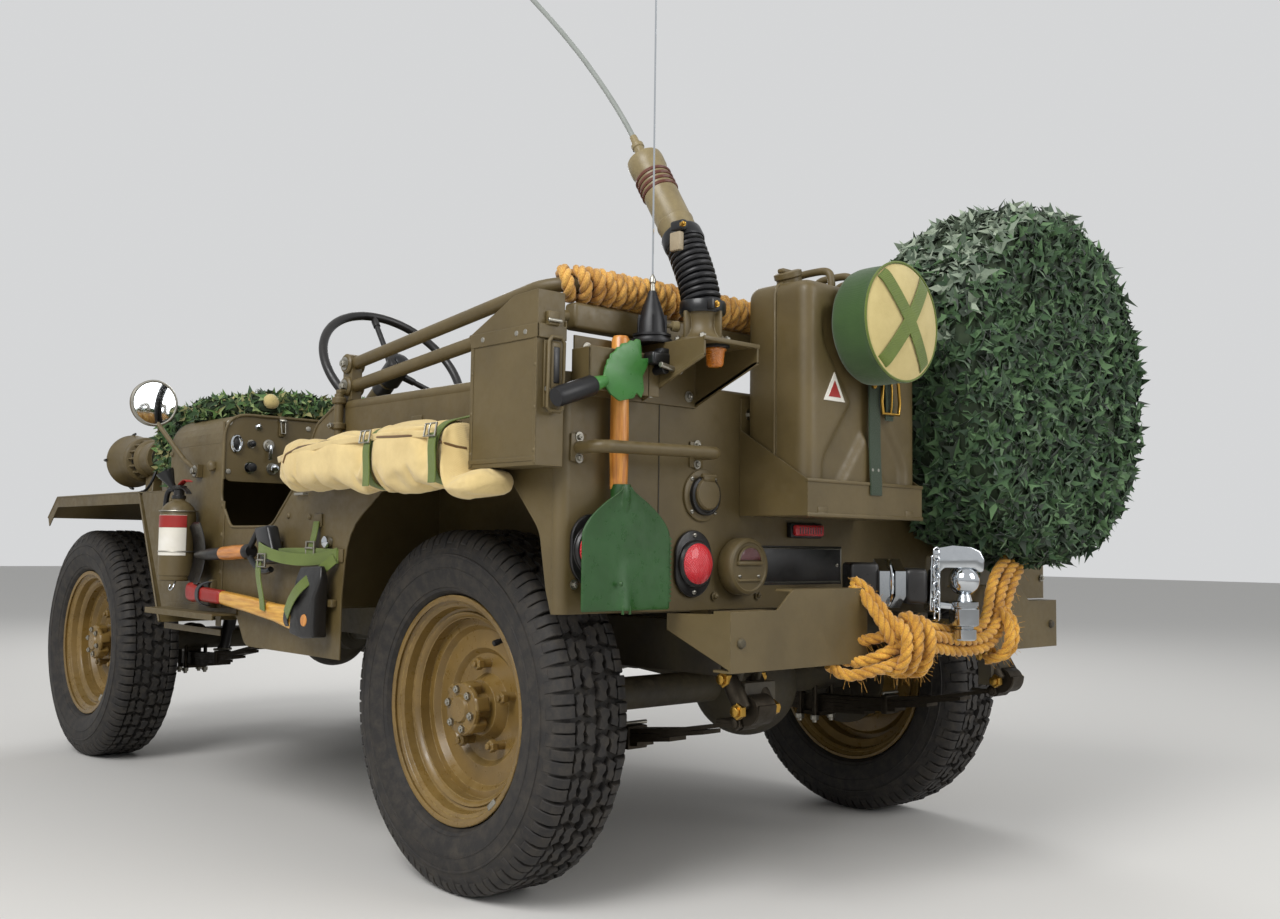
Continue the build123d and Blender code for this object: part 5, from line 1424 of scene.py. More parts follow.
# %% [markdown]
# The radio set's box is sheet steel with a sloped lid. What gives its scale is
# the folded lip of the lid, the pull catch on its rear side, spot-weld dimples
# and the hinge knuckles. Lid pieces ride with the lid, so it can open.
# %% Radio box fittings
LID_Z = 1035
lid_bits = [coated(block((-454, 851.8, LID_Z - 20), (-264, 854.4, LID_Z + 4), 0.8, 1), olive),
    coated(block((-454, 792.6, LID_Z + 1), (-264, 795.2, LID_Z + 14), 0.8, 1), olive),
    coated(block((-454, 793, LID_Z - 20), (-450.6, 854.4, LID_Z + 4), 0.8, 1), olive)]
lid_bits += [coated(lathe([(0, 0), (0, 5), (1.6, 4), (2, 0)], (x, 854.2, LID_Z - 8), LEFT, 12), zinc)
    for x in (-420, -396, -300)]
lid_bits += dress(olive, block((-459, 812, LID_Z + 2), (-450, 836, LID_Z + 26), 2.5))
lid_bits += dress(zinc, bar((-460, 810, LID_Z + 10), (-460, 838, LID_Z + 10), 3.4))
kept("radio_lid_fittings", lid_bits, "olive_paint", body="radio_lid")
box_bits = [coated(block((-454, 808, 900), (-450.4, 840, 1012), 1.5), olive),
    coated(block((-466, 812, 926), (-454, 836, 1010), 5, 3), olive),
    coated(tube([(-464, 808, 900), (-466, 808, 1008), (-466, 814, 1016), (-466, 834, 1016), (-466, 840, 1008),
    (-464, 840, 900), (-464, 834, 894), (-464, 814, 894)], 3.2, "POLY", 3, True), olive),
    coated(bar((-460, 806, 930), (-460, 842, 930), 4), zinc),
    # The black plate inside the catch's loop is painted shade in its open slot.
    coated(block((-468, 818, 940), (-464, 830, 1000), 1.5), black_enamel)]
for z in (816, 1026):
    box_bits += dress(olive, block((-451, 851.6, z - 4), (-262, 853.4, z + 4), 0.8, 1))
for x in (-446, -268):
    box_bits += dress(olive, block((x - 4, 851.6, 808), (x + 4, 853.2, 1033), 0.8, 1))
for z in (830, 900, 970):
    for x in (-446, -268):
        box_bits += dress(olive, lathe([(0, 0), (0, 3.2), (1.2, 2.4), (1.6, 0)], (x, 853.2, z), LEFT, 10))
kept("radio_box_fittings", box_bits, "olive_paint")

# %% [markdown]
# The grab handle is bent tube on two bolted pads. The bumperettes carry the
# spring shackles' ends and their own bolts. These small parts are simple bolts
# and pads, put where the photograph shows them.
# %% Pads and bolts on the rear
pads = []
for y, z in ((472, 845), (755, 840)):
    pads += dress(olive, block((TAIL - 4.5, y - 17, z - 24), (TAIL - 0.5, y + 17, z + 24), 3, 2))
    pads += [coated(bolt((TAIL - 4.5, y, z + s * 18), BACK, 9), zinc) for s in (1, -1)]
for side in (1, -1):
    pads += dress(olive_dull, lathe([(0, 0), (0, 9), (2, 9), (6, 7), (8, 0)], (-600, side * 519, 512), BACK,
        16))
    pads += dress(zinc, bolt((TAIL - 3, side * 760, 930), BACK, 9), bolt((TAIL - 3, side * 760, 610), BACK, 9))
pads += dress(olive_dull, block((TAIL - 1.2, 564, 600), (TAIL - 0.2, 566, 1000), 0))
for y in (420, 300, 180, 20, -120):
    pads += dress(olive, bolt((TAIL - 3, y, 585), BACK, 9))
kept("rear_pads_and_bolts", pads, "olive_paint")


# %% [markdown]
# Sheet metal on this car ends in rolled beads and folded lips, which catch the
# light along every opening. One helper turns corners with radii into a smooth
# path, and a thin tube along it makes the bead.
# %% Rolled beads
def eased(corners, turns=6):
    """A flat path through corners of (a, b, radius), rounded at each corner."""
    path = [corners[0][:2]]
    for before, here, after in zip(corners, corners[1:], corners[2:]):
        o, p, q = (Vector(c[:2]) for c in (here, before, after))
        to_p, to_q = (p - o).normalized(), (q - o).normalized()
        radius = here[2] if len(here) > 2 else 0
        if not radius:
            path.append(tuple(o))
            continue
        back = radius / math.tan(to_p.angle(to_q) / 2)
        start, end = o + to_p * back, o + to_q * back
        for k in range(turns + 1):
            t = k / turns
            path.append(tuple(start.lerp(o, t).lerp(o.lerp(end, t), t)))
    return path + [corners[-1][:2]]


DOOR = [(870, 968, 0), (870, 775, 50), (813, 709, 40), (600, 709, 70), (478, 812, 90), (400, 930, 50),
    (330, 962, 40), (300, 962, 0)]
SCUTTLE = [(788, 826, 0), (788, 988, 62), (-788, 988, 62), (-788, 826, 0)]
beads = []
for side in (1, -1):
    door = [(x, side * 789.5, z) for x, z in eased(DOOR)]
    beads += dress(olive, tube(door, 3.4, "POLY", 3),
        block((846, side * 789.6, 470), (874, side * 792.4, 772), 1, 1),
        block((846, side * 789.6, 447), (1186, side * 791.8, 462), 0.8, 1),
        tube([(1402, side * 788.5, 806), (2076, side * 788.5, 806), (2156, side * 788.5, 743)], 3.2, "POLY", 3),
        tube([(1404, side * 788.5, 804), (1229, side * 788.5, 462)], 3.2, "POLY", 3))
    for x, z in ((517, 733), (420, 730), (858, 760), (858, 690), (858, 600), (858, 520), (1180, 900),
            (1180, 780), (1180, 640)):
        beads += dress(olive, lathe([(0, 0), (0, 7), (2, 6.4), (4, 4), (5, 0)], (x, side * 790.2, z),
            (0, side, 0), 14))
    beads += dress(zinc, tube([(432, side * 790, 780), (434, side * 800, 780), (472, side * 800, 780),
        (474, side * 790, 780)], 3, "POLY", 3))
beads += dress(olive, tube([(869.5, y, z) for y, z in eased(SCUTTLE, 8)], 4.2, "POLY", 3))
kept("rolled_beads_and_rivets", beads, "olive_paint")

# %% [markdown]
# The dash has knobs, a key switch, a clip and a row of dials. Each dial is a
# turned bezel with a dark face, a needle and short plain marks, under a pane.
# %% Dash fittings
DASH_X = 869.6
dash = []


def knob(y, z, radius, length, finish, collar=zinc):
    rim = capped([(0, radius * 1.35), (1.6, radius * 1.35)], (DASH_X, y, z), BACK, 20)
    grip = capped([(1, radius * 0.55), (length * 0.4, radius * 0.55), (length * 0.5, radius),
        (length * 0.9, radius), (length, radius * 0.7)], (DASH_X, y, z), BACK, 20)
    return [coated(rim, collar), coated(grip, finish)]


dash += dress(chrome, hoop((DASH_X - 4, 758, 915), 12, 4.0, 24, tall=19))
dash += dress(black_enamel, block((DASH_X - 3, 749, 900), (DASH_X, 767, 930), 2))
dash += knob(719, 917, 8, 14, black_plastic) + knob(720, 858, 11, 18, black_rubber, chrome) + knob(662, 858, 11,
    20, chrome)
dash += dress(zinc, capped([(0, 15), (3, 15), (5, 11), (10, 10)], (DASH_X, 673, 916), BACK, 24))
dash += dress(chrome, block((DASH_X - 16, 668, 878), (DASH_X - 10, 678, 918), 3, 2),
    lathe([(0, 0), (0, 9), (4, 7), (5, 0)], (DASH_X, 701, 960), BACK, 18))
dash += dress(olive, block((DASH_X - 6, 631, 940), (DASH_X, 647, 992), 2))
dash += dress(zinc, block((DASH_X - 10, 629, 976), (DASH_X - 2, 649, 984), 2),
    tube([(DASH_X - 7, 633, 978), (DASH_X - 12, 634, 948), (DASH_X - 12, 644, 948), (DASH_X - 7, 645, 978)],
    1.8, "POLY", 3))
dash += [coated(lathe([(0, 0), (0, 7), (1.5, 6), (2, 0)], (DASH_X, y, z), BACK, 14), zinc)
    for y in (776, 565, -565, -776) for z in (846, 966)]


def mark(x, y, z, angle, inner, outer, thick):
    c, s = math.cos(math.radians(angle)), math.sin(math.radians(angle))
    return coated(bar(*((x, y - r * c, z + r * s) for r in (outer, inner)), thick, 0.1, 6), white_enamel)


def dial(y, z, radius, sweep):
    made = [coated(capped([(0, radius + 5), (7, radius + 5), (9, radius + 2), (9, radius - 1), (5, radius - 2)],
        (DASH_X, y, z), BACK, 40), black_enamel)]
    made += dress(pane, lathe([(6.5, 0), (6.5, radius - 1), (7.5, radius * 0.7), (8.2, 0)], (DASH_X, y, z),
        BACK, 32))
    for k in range(9):
        inner = radius * (0.62 if k % 2 == 0 else 0.72)
        made.append(mark(DASH_X - 5.4, y, z, 225 - 33.75 * k, inner, radius * 0.86, 0.7))
    made.append(mark(DASH_X - 6, y, z, sweep, radius * 0.7, 0, 0.8))
    made += dress(black_plastic, capped([(5, 4), (7, 3)], (DASH_X, y, z), BACK, 14))
    return made


for y, z, radius, sweep in ((-20, 905, 44, 215), (85, 938, 24, 120), (85, 872, 24, 160), (-125, 938, 24, 80),
        (-125, 872, 24, 200)):
    dash += dial(y, z, radius, sweep)
for y in (300, 260, 190, -210, -260, -310):
    dash += knob(y, 850, 9, 20, black_plastic)
dash += dress(olive, block((DASH_X - 5, -640, 836), (DASH_X, -400, 956), 4))
dash += dress(zinc, lathe([(5, 0), (5, 10), (12, 9), (13, 0)], (DASH_X, -520, 946), BACK, 18),
    bar((DASH_X - 5, -636, 838), (DASH_X - 5, -404, 838), 3.4))
kept("dash_fittings", dash, "steel_black")

# %% [markdown]
# The extinguisher is a spun bottle with a domed shoulder and a black valve. Its
# label is a curved sheet, white with a red band and no words. The nozzle cup
# and the squeeze handle stand above it, and a wire hook hangs below.
# %% Fire extinguisher
BOTTLE = (1012, 837, 575)
turned = [(0, 0), (0, 36), (2, 40), (4, 41), (12, 41), (14, 43), (20, 43), (158, 43), (172, 41.5), (184, 36),
    (193, 27), (198, 18), (200, 15), (206, 15), (206, 0)]
bottle = [coated(lathe(turned, BOTTLE, sides=64), olive)]


def round_bottle(radius, z, first, last, step):
    turns = [math.radians(a) for a in range(first, last, step)]
    return [(BOTTLE[0] + radius * math.cos(t), BOTTLE[1] + radius * math.sin(t), z) for t in turns]


def wrapped(radius, z, high, finish):
    return coated(strap(round_bottle(radius, z, 66, 187, 8), UP, high, 0.7, False), finish)


bottle += [wrapped(43.5, 688, 100, white_enamel), wrapped(44.0, 722, 30, signal_red)]
bottle += dress(black_enamel, capped([(204, 17), (212, 17), (213, 13), (226, 13), (228, 18), (236, 18),
    (238, 10)], BOTTLE, sides=28))
bottle += dress(black_plastic, lathe([(0, 0), (0, 8), (12, 10), (40, 21), (46, 22), (46, 19), (40, 17), (14, 8),
    (10, 0)], (1018, 850, 806), (0.28, 0.45, 1), 28))
bottle += dress(signal_red, lathe([(0, 0), (8, 6), (30, 14), (31, 0)], (1018, 850, 807), (0.28, 0.45, 1), 24))
bottle += dress(black_enamel, block((990, 828, 806), (1036, 846, 812), 2.5))
bottle += dress(signal_red, strap([(1004, 837, 814), (986, 837, 822), (966, 837, 826), (950, 837, 820)], LEFT,
    16, 3))
bottle += dress(black_enamel, strap([(1004, 837, 806), (984, 837, 806), (964, 837, 800), (952, 837, 790)], LEFT,
    15, 3))
bottle += dress(black_rubber, tube([(1026, 842, 802), (1052, 846, 806), (1066, 848, 780), (1064, 850, 720),
    (1062, 850, 660)], 6.5))
bottle += dress(black_plastic, lathe([(0, 0), (0, 9), (10, 10), (44, 12), (46, 0)], (1062, 850, 662),
    (0, 0, -1), 20))
bottle += dress(olive, block((985, 790.4, 640), (1039, 797, 655), 2))
for z in (648, 748):
    bottle += dress(zinc, tube(round_bottle(44.4, z, -60, 250, 10), 1.6, "POLY", 2))
bottle += dress(chrome, tube([(990, 846, 577), (985, 852, 562), (990, 858, 552), (1002, 858, 556),
    (1002, 854, 566)], 2.2))
kept("extinguisher_piece", bottle, "olive_paint", "fire_extinguisher")

# %% [markdown]
# The siren on the wing is a row of drums on one shaft: a dark end cap with two
# bright bolts, the motor drum, a slotted stator ring and a flared mouth. A wire
# hoop guards the mouth. All but the slots and the hoop are turned shapes.
# %% Siren
AXIS = (1500, 665, 915)
drum = [coated(capped([(0, 34), (4, 38), (46, 38), (50, 36)], AXIS, AHEAD, 48), black_enamel)]
drum += dress(olive, capped([(48, 50), (52, 53), (58, 53), (62, 50), (120, 50), (126, 56), (134, 58),
    (138, 54)], AXIS, AHEAD, 56))
drum += dress(black_enamel, capped([(136, 48), (176, 48)], AXIS, AHEAD, 48))
drum += dress(olive, capped([(174, 60), (178, 66), (190, 68), (196, 64), (240, 66), (276, 76), (284, 80),
    (290, 80), (290, 77), (262, 66), (236, 56)], AXIS, AHEAD, 56))
drum += dress(black_enamel, lathe([(236, 0), (236, 40), (270, 20), (272, 0)], AXIS, AHEAD, 32))
vane = block((1636, 662.5, 962), (1676, 667.5, 974), 1, 1)
drum += [coated(v, olive) for v in copied(vane, [turned_about(AXIS, "X", 360 / 16 * i) for i in range(16)])]
for dy, dz in ((-16, 4), (16, -4)):
    drum += dress(chrome, nut((1500, 665 + dy, 915 + dz), BACK, 13, 8, 4, 5))
drum += dress(olive, cut([(630, 807.2), (630, 812), (650, 822), (652, 866), (678, 866), (680, 822), (700, 812),
    (700, 807.2)], "x", 1592, 1648, 2))
drum += [coated(bolt((x, y, 812), UP, 11), zinc) for x in (1600, 1640) for y in (638, 692)]
for across, upward in ((1, 0), (0, 1)):
    arc = [(1780 + 78 * math.sin(t), 84 * math.cos(t)) for t in (math.radians(a) for a in range(0, 181, 12))]
    path = [(x, AXIS[1] + r * across, AXIS[2] + r * upward) for x, r in arc]
    drum += dress(black_enamel, tube(path, 3.6, "POLY", 3))
drum += dress(black_rubber, tube([(1530, 690, 890), (1524, 704, 850), (1545, 712, 822), (1580, 716, 812),
    (1640, 720, 810)], 4))
kept("wing_siren", drum, "olive_paint", "siren")

# %% [markdown]
# Round mirrors stand on bent arms. The solids carry them, so only the glass, its
# rolled rim and the arm's clamp are added, on both sides of the car.
# %% Mirror glass and arm clamps
mirror_bits = []
for side in (1, -1):
    mirror_bits += dress(mirror_glass, capped([(0, 53), (1.6, 53.6)], (1160, side * 850, 1030), BACK, 56))
    mirror_bits += dress(zinc, hoop((1161, side * 850, 1030), 57, 4.2, 40))
    mirror_bits += dress(olive, capped([(0, 14), (10, 14), (14, 8)], (1184, side * 850, 1030), AHEAD, 20))
    mirror_bits += dress(zinc, bolt((1000, side * 804.5, 850), (0, side, 0), 15))
    mirror_bits += dress(olive, lathe([(0, 0), (0, 11), (3, 13), (14, 12), (20, 7), (24, 0)],
        (920, side * 790.3, 852), (0, side * 0.6, 1), 20))
kept("mirror_glasses", mirror_bits, "chrome")

# %% [markdown]
# A short black shovel and an axe are buckled to the side under the door. The
# haft of the axe is a flattened oval, so it is cut from its side outline and
# rounded. Its end is dipped red, the rest is yellow. The head is black.
# %% Small shovel and axe
Y_TOOL = 822
haft = []
haft += dress(signal_red, cut([(956, 530), (962, 552), (956, 572), (930, 574), (890, 564), (790, 560),
    (768, 559), (768, 527), (800, 527), (880, 530), (925, 526)], "y", 809, 836, 9, 4))
haft += dress(yellow_ash, cut([(770, 527.4), (770, 558.6), (640, 551), (500, 540), (430, 538), (392, 541),
    (392, 486), (430, 490), (500, 502), (640, 516)], "y", 810, 835, 9, 4))
axe_head = cut([(404, 482), (398, 560), (392, 600), (384, 622), (296, 626), (288, 600), (302, 560), (304, 500),
    (300, 478), (350, 474)], "y", 805, 840, 5, 3)
for vertex in axe_head.data.vertices:
    lift = max(0.0, min(1.0, (vertex.co.z - 0.56) / 0.066))
    vertex.co.y = Y_TOOL / 1000 + (vertex.co.y - Y_TOOL / 1000) * (1 - 0.72 * lift)
haft += dress(black_enamel, axe_head)
haft += dress(shovel_ash, lathe([(0, 0), (0, 13), (2, 12), (2.6, 0)], (338, 839.5, 512), LEFT, 24))
for x, z in ((880, 547), (420, 514)):
    haft += dress(olive, block((x - 9, 790.4, z - 34), (x + 9, 808, z + 34), 3))
    haft += dress(black_webbing, strap([(x, 800, z + 30), (x, 822, z + 27), (x, 838.5, z + 16), (x, 840, z),
        (x, 838.5, z - 16), (x, 822, z - 27), (x, 800, z - 30)], AHEAD, 18, 2.4))
haft += dress(olive, block((290, 790.4, 540), (400, 804, 556), 3))
small = []
plate_bent = sheet(14, 16)
for vertex in plate_bent.data.vertices:
    u, v = vertex.co.x, vertex.co.y
    half = 76 * (1 - 0.22 * max(0.0, u) ** 2)
    vertex.co = at(938 + 52 * u - 9 * v * v * (u > 0), 812 + 17 * (v * v) - 6 * u, 645 + half * v)
outward(plate_bent)
modified(plate_bent, "SOLIDIFY", thickness=0.0024, offset=0)
small += dress(black_enamel, finer(plate_bent), capped([(0, 8), (30, 12), (70, 14), (140, 15), (146, 13)],
    (925, 822, 640), (-1, 0, 0.04), 24))
small += dress(side_ash, lathe([(0, 0), (0, 15.5), (60, 17), (130, 15.5), (134, 0)], (778, 822, 646),
    (-1, 0, 0.05), 28))
small += dress(black_enamel, capped([(0, 17), (18, 17), (22, 14)], (652, 822, 652), (-1, 0, 0.05), 24))
for z0, z1, x1 in ((660, 704, 588), (642, 604, 550)):
    small += dress(black_plastic, tube([(640, 822, z0 - (2 if z0 > 650 else -2)), (618, 822, (z0 + z1) / 2),
        (x1 + 6, 822, z1), (x1 - 20, 822, z1 - (2 if z0 > 650 else -10))], 7))
small += dress(black_plastic, cut([(592, 706), (527, 712), (484, 630), (549, 624)], "y", 808, 838, 7, 3))
small += dress(olive, block((700, 790.4, 632), (724, 808, 664), 3))
kept("side_axe_and_shovel", haft + small, "tool_wood", "side_tools", angle=40)
webs = [coated(strap([(552, 812, 640), (500, 824, 646), (430, 812, 648), (350, 802, 648), (284, 794, 646)], UP,
    30, 2.6), green_webbing), coated(strap([(556, 840, 662), (520, 842, 652), (470, 832, 640), (400, 816, 636),
    (330, 803, 640), (286, 796, 652)], UP, 26, 2.4), green_webbing),
    coated(strap([(378, 796, 720), (378, 800, 690), (380, 808, 660), (382, 806, 634)], AHEAD, 24, 2.4),
    green_webbing), coated(strap([(548, 842, 634), (546, 846, 606), (540, 842, 574), (536, 838, 548),
    (528, 840, 524)], (1, 0, 0.15), 24, 2.2), green_webbing),
    coated(strap([(288, 800, 642), (318, 812, 618), (356, 842, 584), (392, 844, 552), (414, 842, 520)],
    (0.7, 0, 0.72), 26, 2.4), green_webbing)]
for place in ((530, 843, 634), (380, 806, 662)):
    x, y, z = place
    webs += dress(zinc, tube([(x - 17, y + 2, z - 14), (x + 17, y + 2, z - 14), (x + 17, y + 2, z + 14),
        (x - 17, y + 2, z + 14)], 2.6, "POLY", 3, True),
        tube([(x - 16, y + 4, z), (x, y + 6, z + 2), (x + 18, y + 4, z)], 2.2))
webs += dress(chrome, lathe([(0, 0), (0, 12), (6, 14), (14, 12), (18, 6), (19, 0)], (328, 790.4, 676), LEFT,
    24))
for x, z in ((284, 648), (378, 722), (560, 662)):
    webs += dress(olive, block((x - 16, 790.3, z - 14), (x + 16, 794, z + 14), 1.5))
kept("side_tool_straps", webs, "canvas")

# %% [markdown]
# The folded windscreen keeps its solids and gets rubber beads round both panes,
# wing nuts at its pivots, clamp pads and two wiper arms. These pieces move with
# the windscreen, so they stand up with it when it is raised.
# %% Windscreen fittings
glazing = []
for y0, y1 in ((17, 541), (-541, -17)):
    for z in (1045.5, 1036.5):
        corners = [(1209, y0, z), (1209, y1, z), (1578, y1, z), (1578, y0, z)]
        glazing += dress(black_rubber, tube(corners, 3.6, "POLY", 3, True))
for side in (1, -1):
    glazing += dress(zinc, capped([(0, 12), (8, 12), (10, 8), (16, 8)], (1080, side * 604.5, 1012),
        (0, side, 0), 20), block((1076, side * 610, 1004), (1084, side * 622, 1034), 2.5))
    glazing += dress(olive, block((1070, side * 583, 1006), (1128, side * 589, 1050), 3))
    glazing += dress(zinc, lathe([(0, 0), (0, 9), (5, 9), (6, 0)], (1580, side * 300, 1054.3), UP, 16))
    pivot = (1594, side * 300, 1054.3)
    glazing += dress(black_enamel, capped([(0, 13), (10, 12), (14, 7)], pivot, UP, 20),
        tube([(1594, side * 300, 1064), (1500, side * 250, 1062), (1400, side * 220, 1055)], 3))
    glazing += dress(black_rubber, tube([(1490, side * 130, 1050), (1400, side * 222, 1050),
        (1320, side * 316, 1050)], 3.2))
    for x in (1150, 1560):
        glazing += dress(olive, block((x - 22, side * 556, 1054.2), (x + 22, side * 574, 1058), 2))
        glazing += [coated(lathe([(0, 0), (0, 4.5), (2, 3.6), (2.4, 0)], (x + d, side * 565, 1058), UP, 12),
            zinc) for d in (-13, 13)]
kept("windscreen_fittings", glazing, "steel_black", body="windscreen")


# %% [markdown]
# Seats are canvas pads on thin steel tube. A pad is a rounded block, remeshed
# and blown up a little as cloth so it crowns between its edges, and then the
# sewn channels are pressed in and the piping is laid round its top seam.
# %% Seat pads
def stuffed(low, high, soft, channels, along=1):
    """A pad between two places; channels are sewn lines at these shares of its width."""
    pad = block(low, high, soft, 3)
    modified(pad, "REMESH", mode="VOXEL", voxel_size=0.0105)
    a, b = at(*low), at(*high)
    thin = min(range(3), key=lambda i: b[i] - a[i])
    blown(pad, lambda v: v.co[thin] - a[thin] < 0.012, 0.012, 14, quality=5, uniform_pressure_force=3.0,
        shrink_min=-0.05)
    for vertex in pad.data.vertices:
        share = (vertex.co[along] - a[along]) / (b[along] - a[along])
        near = min(abs(share - c) for c in channels) * (b[along] - a[along])
        on_face = (vertex.co[thin] - a[thin]) / (b[thin] - a[thin])
        if on_face > 0.6:
            vertex.co[thin] -= 0.008 * math.exp(-(near / 0.009) ** 2)
    return coated(finer(pad), seat_canvas)


def piped(low, high, level, axis, corner=26):
    """Piping round a pad at one level along an axis."""
    (x0, y0, z0), (x1, y1, z1) = low, high
    (a0, b0), (a1, b1) = ((x0, y0), (x1, y1)) if axis == 2 else ((y0, z0), (y1, z1))
    ring = eased([((a0 + a1) / 2, b0, 0), (a1, b0, corner), (a1, b1, corner), (a0, b1, corner),
        (a0, b0, corner), ((a0 + a1) / 2 - 1, b0, 0)])
    return coated(tube([(a, b, level) if axis == 2 else (level, a, b) for a, b in ring], 3.2, "POLY", 3, True),
        seat_canvas)


def cushion(name, low, high, soft, channels, level, axis):
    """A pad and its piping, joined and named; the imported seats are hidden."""
    outer = [v - 2 for v in low], [v + 2 for v in high]
    parts = [stuffed(low, high, soft, channels), piped(*outer, level, axis)]
    kept(name, parts, "seat_canvas", "seats", angle=60)


NARROW, WIDE = (0.25, 0.5, 0.75), (0.17, 0.33, 0.5, 0.67, 0.83)
seat_frames = []
for side, hand in ((1, "left"), (-1, "right")):
    y = side * 400
    cushion(f"seat_cushion_{hand}", (474, y - 190, 648), (796, y + 190, 716), 22, NARROW, 700, 2)
    cushion(f"seat_back_{hand}", (448, y - 188, 738), (494, y + 188, 1000), 20, NARROW, 484, 0)
    for dy in (-196, 196):
        sled = [(448, 1000), (452, 900), (462, 700), (470, 644), (560, 640), (770, 640), (792, 632), (790, 536)]
        leg = [(480, 642), (484, 600), (484, 536)]
        seat_frames += dress(olive, *(tube([(x, y + dy, z) for x, z in run], 10.5) for run in (sled, leg)))
        seat_frames += [coated(bolt((x, y + dy, 536), UP, 12), zinc) for x in (470, 804)]
    for x, z in ((446, 1000), (468, 650), (620, 640), (790, 636)):
        seat_frames += dress(olive, bar((x, y - 196, z), (x, y + 196, z), 9))
cushion("rear_bench_cushion", (-326, -436, 708), (56, 436, 768), 20, WIDE, 754, 2)
cushion("rear_bench_back", (-386, -434, 784), (-342, 434, 956), 18, WIDE, -352, 0)
for side in (1, -1):
    y = side * 420
    sled = [(-388, 950), (-384, 860), (-346, 712), (-320, 700), (0, 700), (36, 698), (40, 640), (40, 569)]
    leg = [(-300, 700), (-302, 640), (-302, 569)]
    seat_frames += dress(olive, *(tube([(x, y, z) for x, z in run], 11) for run in (sled, leg)))
for x, z in ((-388, 950), (-330, 704), (-140, 700), (50, 700)):
    seat_frames += dress(olive, bar((x, -424, z), (x, 424, z), 9))
kept("seat_frames", seat_frames, "olive_paint", "seats")

# %% [markdown]
# The steering wheel keeps its solid. A horn button, a hub nut and small clips
# where the spokes enter the rim are added, and they turn with it.
# %% Steering wheel fittings
COLUMN = 727.7
lean_x, lean_z = -595 / COLUMN, 419 / COLUMN


def up_column(far):
    """A place on the steering column, far millimetres above the wheel's hub."""
    return Vector((650 + lean_x * far, 450, 1105 + lean_z * far))


wheel_bits = [coated(capped([(28, 32), (32, 33), (38, 30), (41, 24)], up_column(0), (lean_x, 0, lean_z), 36),
    black_enamel), coated(lathe([(40, 0), (40, 19), (46, 19), (50, 14), (51, 0)], up_column(0),
    (lean_x, 0, lean_z), 32), black_plastic)]
for i in range(3):
    t = math.radians(90 + 120 * i)
    out_way = Vector((0, math.cos(t), 0)) + Vector((lean_z, 0, -lean_x)) * math.sin(t)
    wheel_bits += dress(black_enamel, capped([(0, 9), (20, 9.5), (24, 8)], up_column(0) + out_way * 154,
        out_way, 20), capped([(0, 10), (30, 9), (32, 7)], up_column(0) + out_way * 26, out_way, 20))
kept("steering_wheel_fittings", wheel_bits, "steel_black", body="steering_wheel")
column_bits = [coated(capped([(-6, 25), (6, 25)], up_column(-250), (lean_x, 0, lean_z), 28), zinc),
    coated(block((835, 428, 940), (872, 472, 990), 4), olive)]
column_bits += dress(black_enamel, capped([(0, 24.5), (26, 24.5), (30, 22.5)], up_column(-74),
    (lean_x, 0, lean_z), 28))
kept("steering_column_fittings", column_bits, "steel_black")

# %% [markdown]
# The top bows get what holds them: pivot bolts at the ends, collars on the side
# posts, and a flat cross band below the rope, as the photograph shows.
# %% Bow fittings
bow_bits = [coated(block((-416, -708, 1048), (-384, 744, 1095), 7, 3), olive)]
for side in (1, -1):
    for z in (1004, 1052):
        bow_bits += dress(olive, capped([(-19, 18), (-16, 21), (16, 21), (19, 18)], (286, side * 772, z), LEFT,
            32))
        bow_bits += dress(zinc, bolt((286, side * 791, z), (0, side, 0), 15))
    bow_bits += dress(olive, bar((286, side * 802, 986), (286, side * 802, 868), 10))
    for z in (972, 918, 884):
        bow_bits += dress(olive, capped([(-7, 13), (-5, 15), (5, 15), (7, 13)], (286, side * 802, z), UP, 28),
            block((276, side * 789.8, z - 7), (296, side * 800, z + 7), 2))
    bow_bits += dress(zinc, nut((286, side * 816, 918), (0, side, 0), 11, 8, 3, 4))
    bow_bits += dress(olive, block((276, side * 790, 985), (296, side * 806, 996), 3))
kept("bow_fittings", bow_bits, "olive_paint")

# %% [markdown]
# The nose is hidden in the photograph, so it gets only what every car of this
# kind has: silvered headlamps with pressed lenses, two small side lamps, the
# radiator's fins behind the slots, bonnet clips, hinges and bumper bolts.
# %% Front end
NOSE = 2160
front = []
for side in (1, -1):
    centre = (NOSE, side * 335, 770)
    front += dress(chrome, lathe([(14.5, 83), (15, 76), (24.6, 40), (27.6, 0)], centre, AHEAD, 56))
    front += dress(clear_lens, lathe([(16, 79), (20, 76), (27, 60), (31, 40), (33.5, 0)], centre, AHEAD, 56))
    front += dress(olive, hoop((NOSE + 17, side * 335, 770), 81, 4.5, 48),
        capped([(6, 27), (12, 28), (20, 26)], (NOSE, side * 335, 632), AHEAD, 32))
    front += dress(amber_lens, lathe([(19, 0), (19, 23), (24, 20), (28, 12), (29, 0)], (NOSE, side * 335, 632),
        AHEAD, 28))
    for y, z in ((300, 480), (352, 480), (404, 480)):
        front += dress(olive, bolt((2593.2, side * y, z), AHEAD, 19))
    for z in (560, 720, 880):
        front += dress(olive, bolt((NOSE + 6.3, side * 425, z), AHEAD, 11))
    front += dress(olive, block((2070, side * 449, 902), (2100, side * 459, 932), 2.5))
    clip = [(2078, 460, 930), (2076, 464, 955), (2094, 464, 955), (2092, 460, 930)]
    front += dress(zinc, tube([(x, side * y, z) for x, y, z in clip], 2.4, "POLY", 3))
    front += dress(olive, tube([(2085, side * 100, 958.5), (2085, side * 100, 972), (2085, side * 60, 972),
        (2085, side * 60, 958.5)], 5, "POLY", 3), block((1189, side * 250, 984), (1240, side * 300, 990), 2))
    front += [coated(bolt((1215, side * y, 990), UP, 9), zinc) for y in (262, 288)]
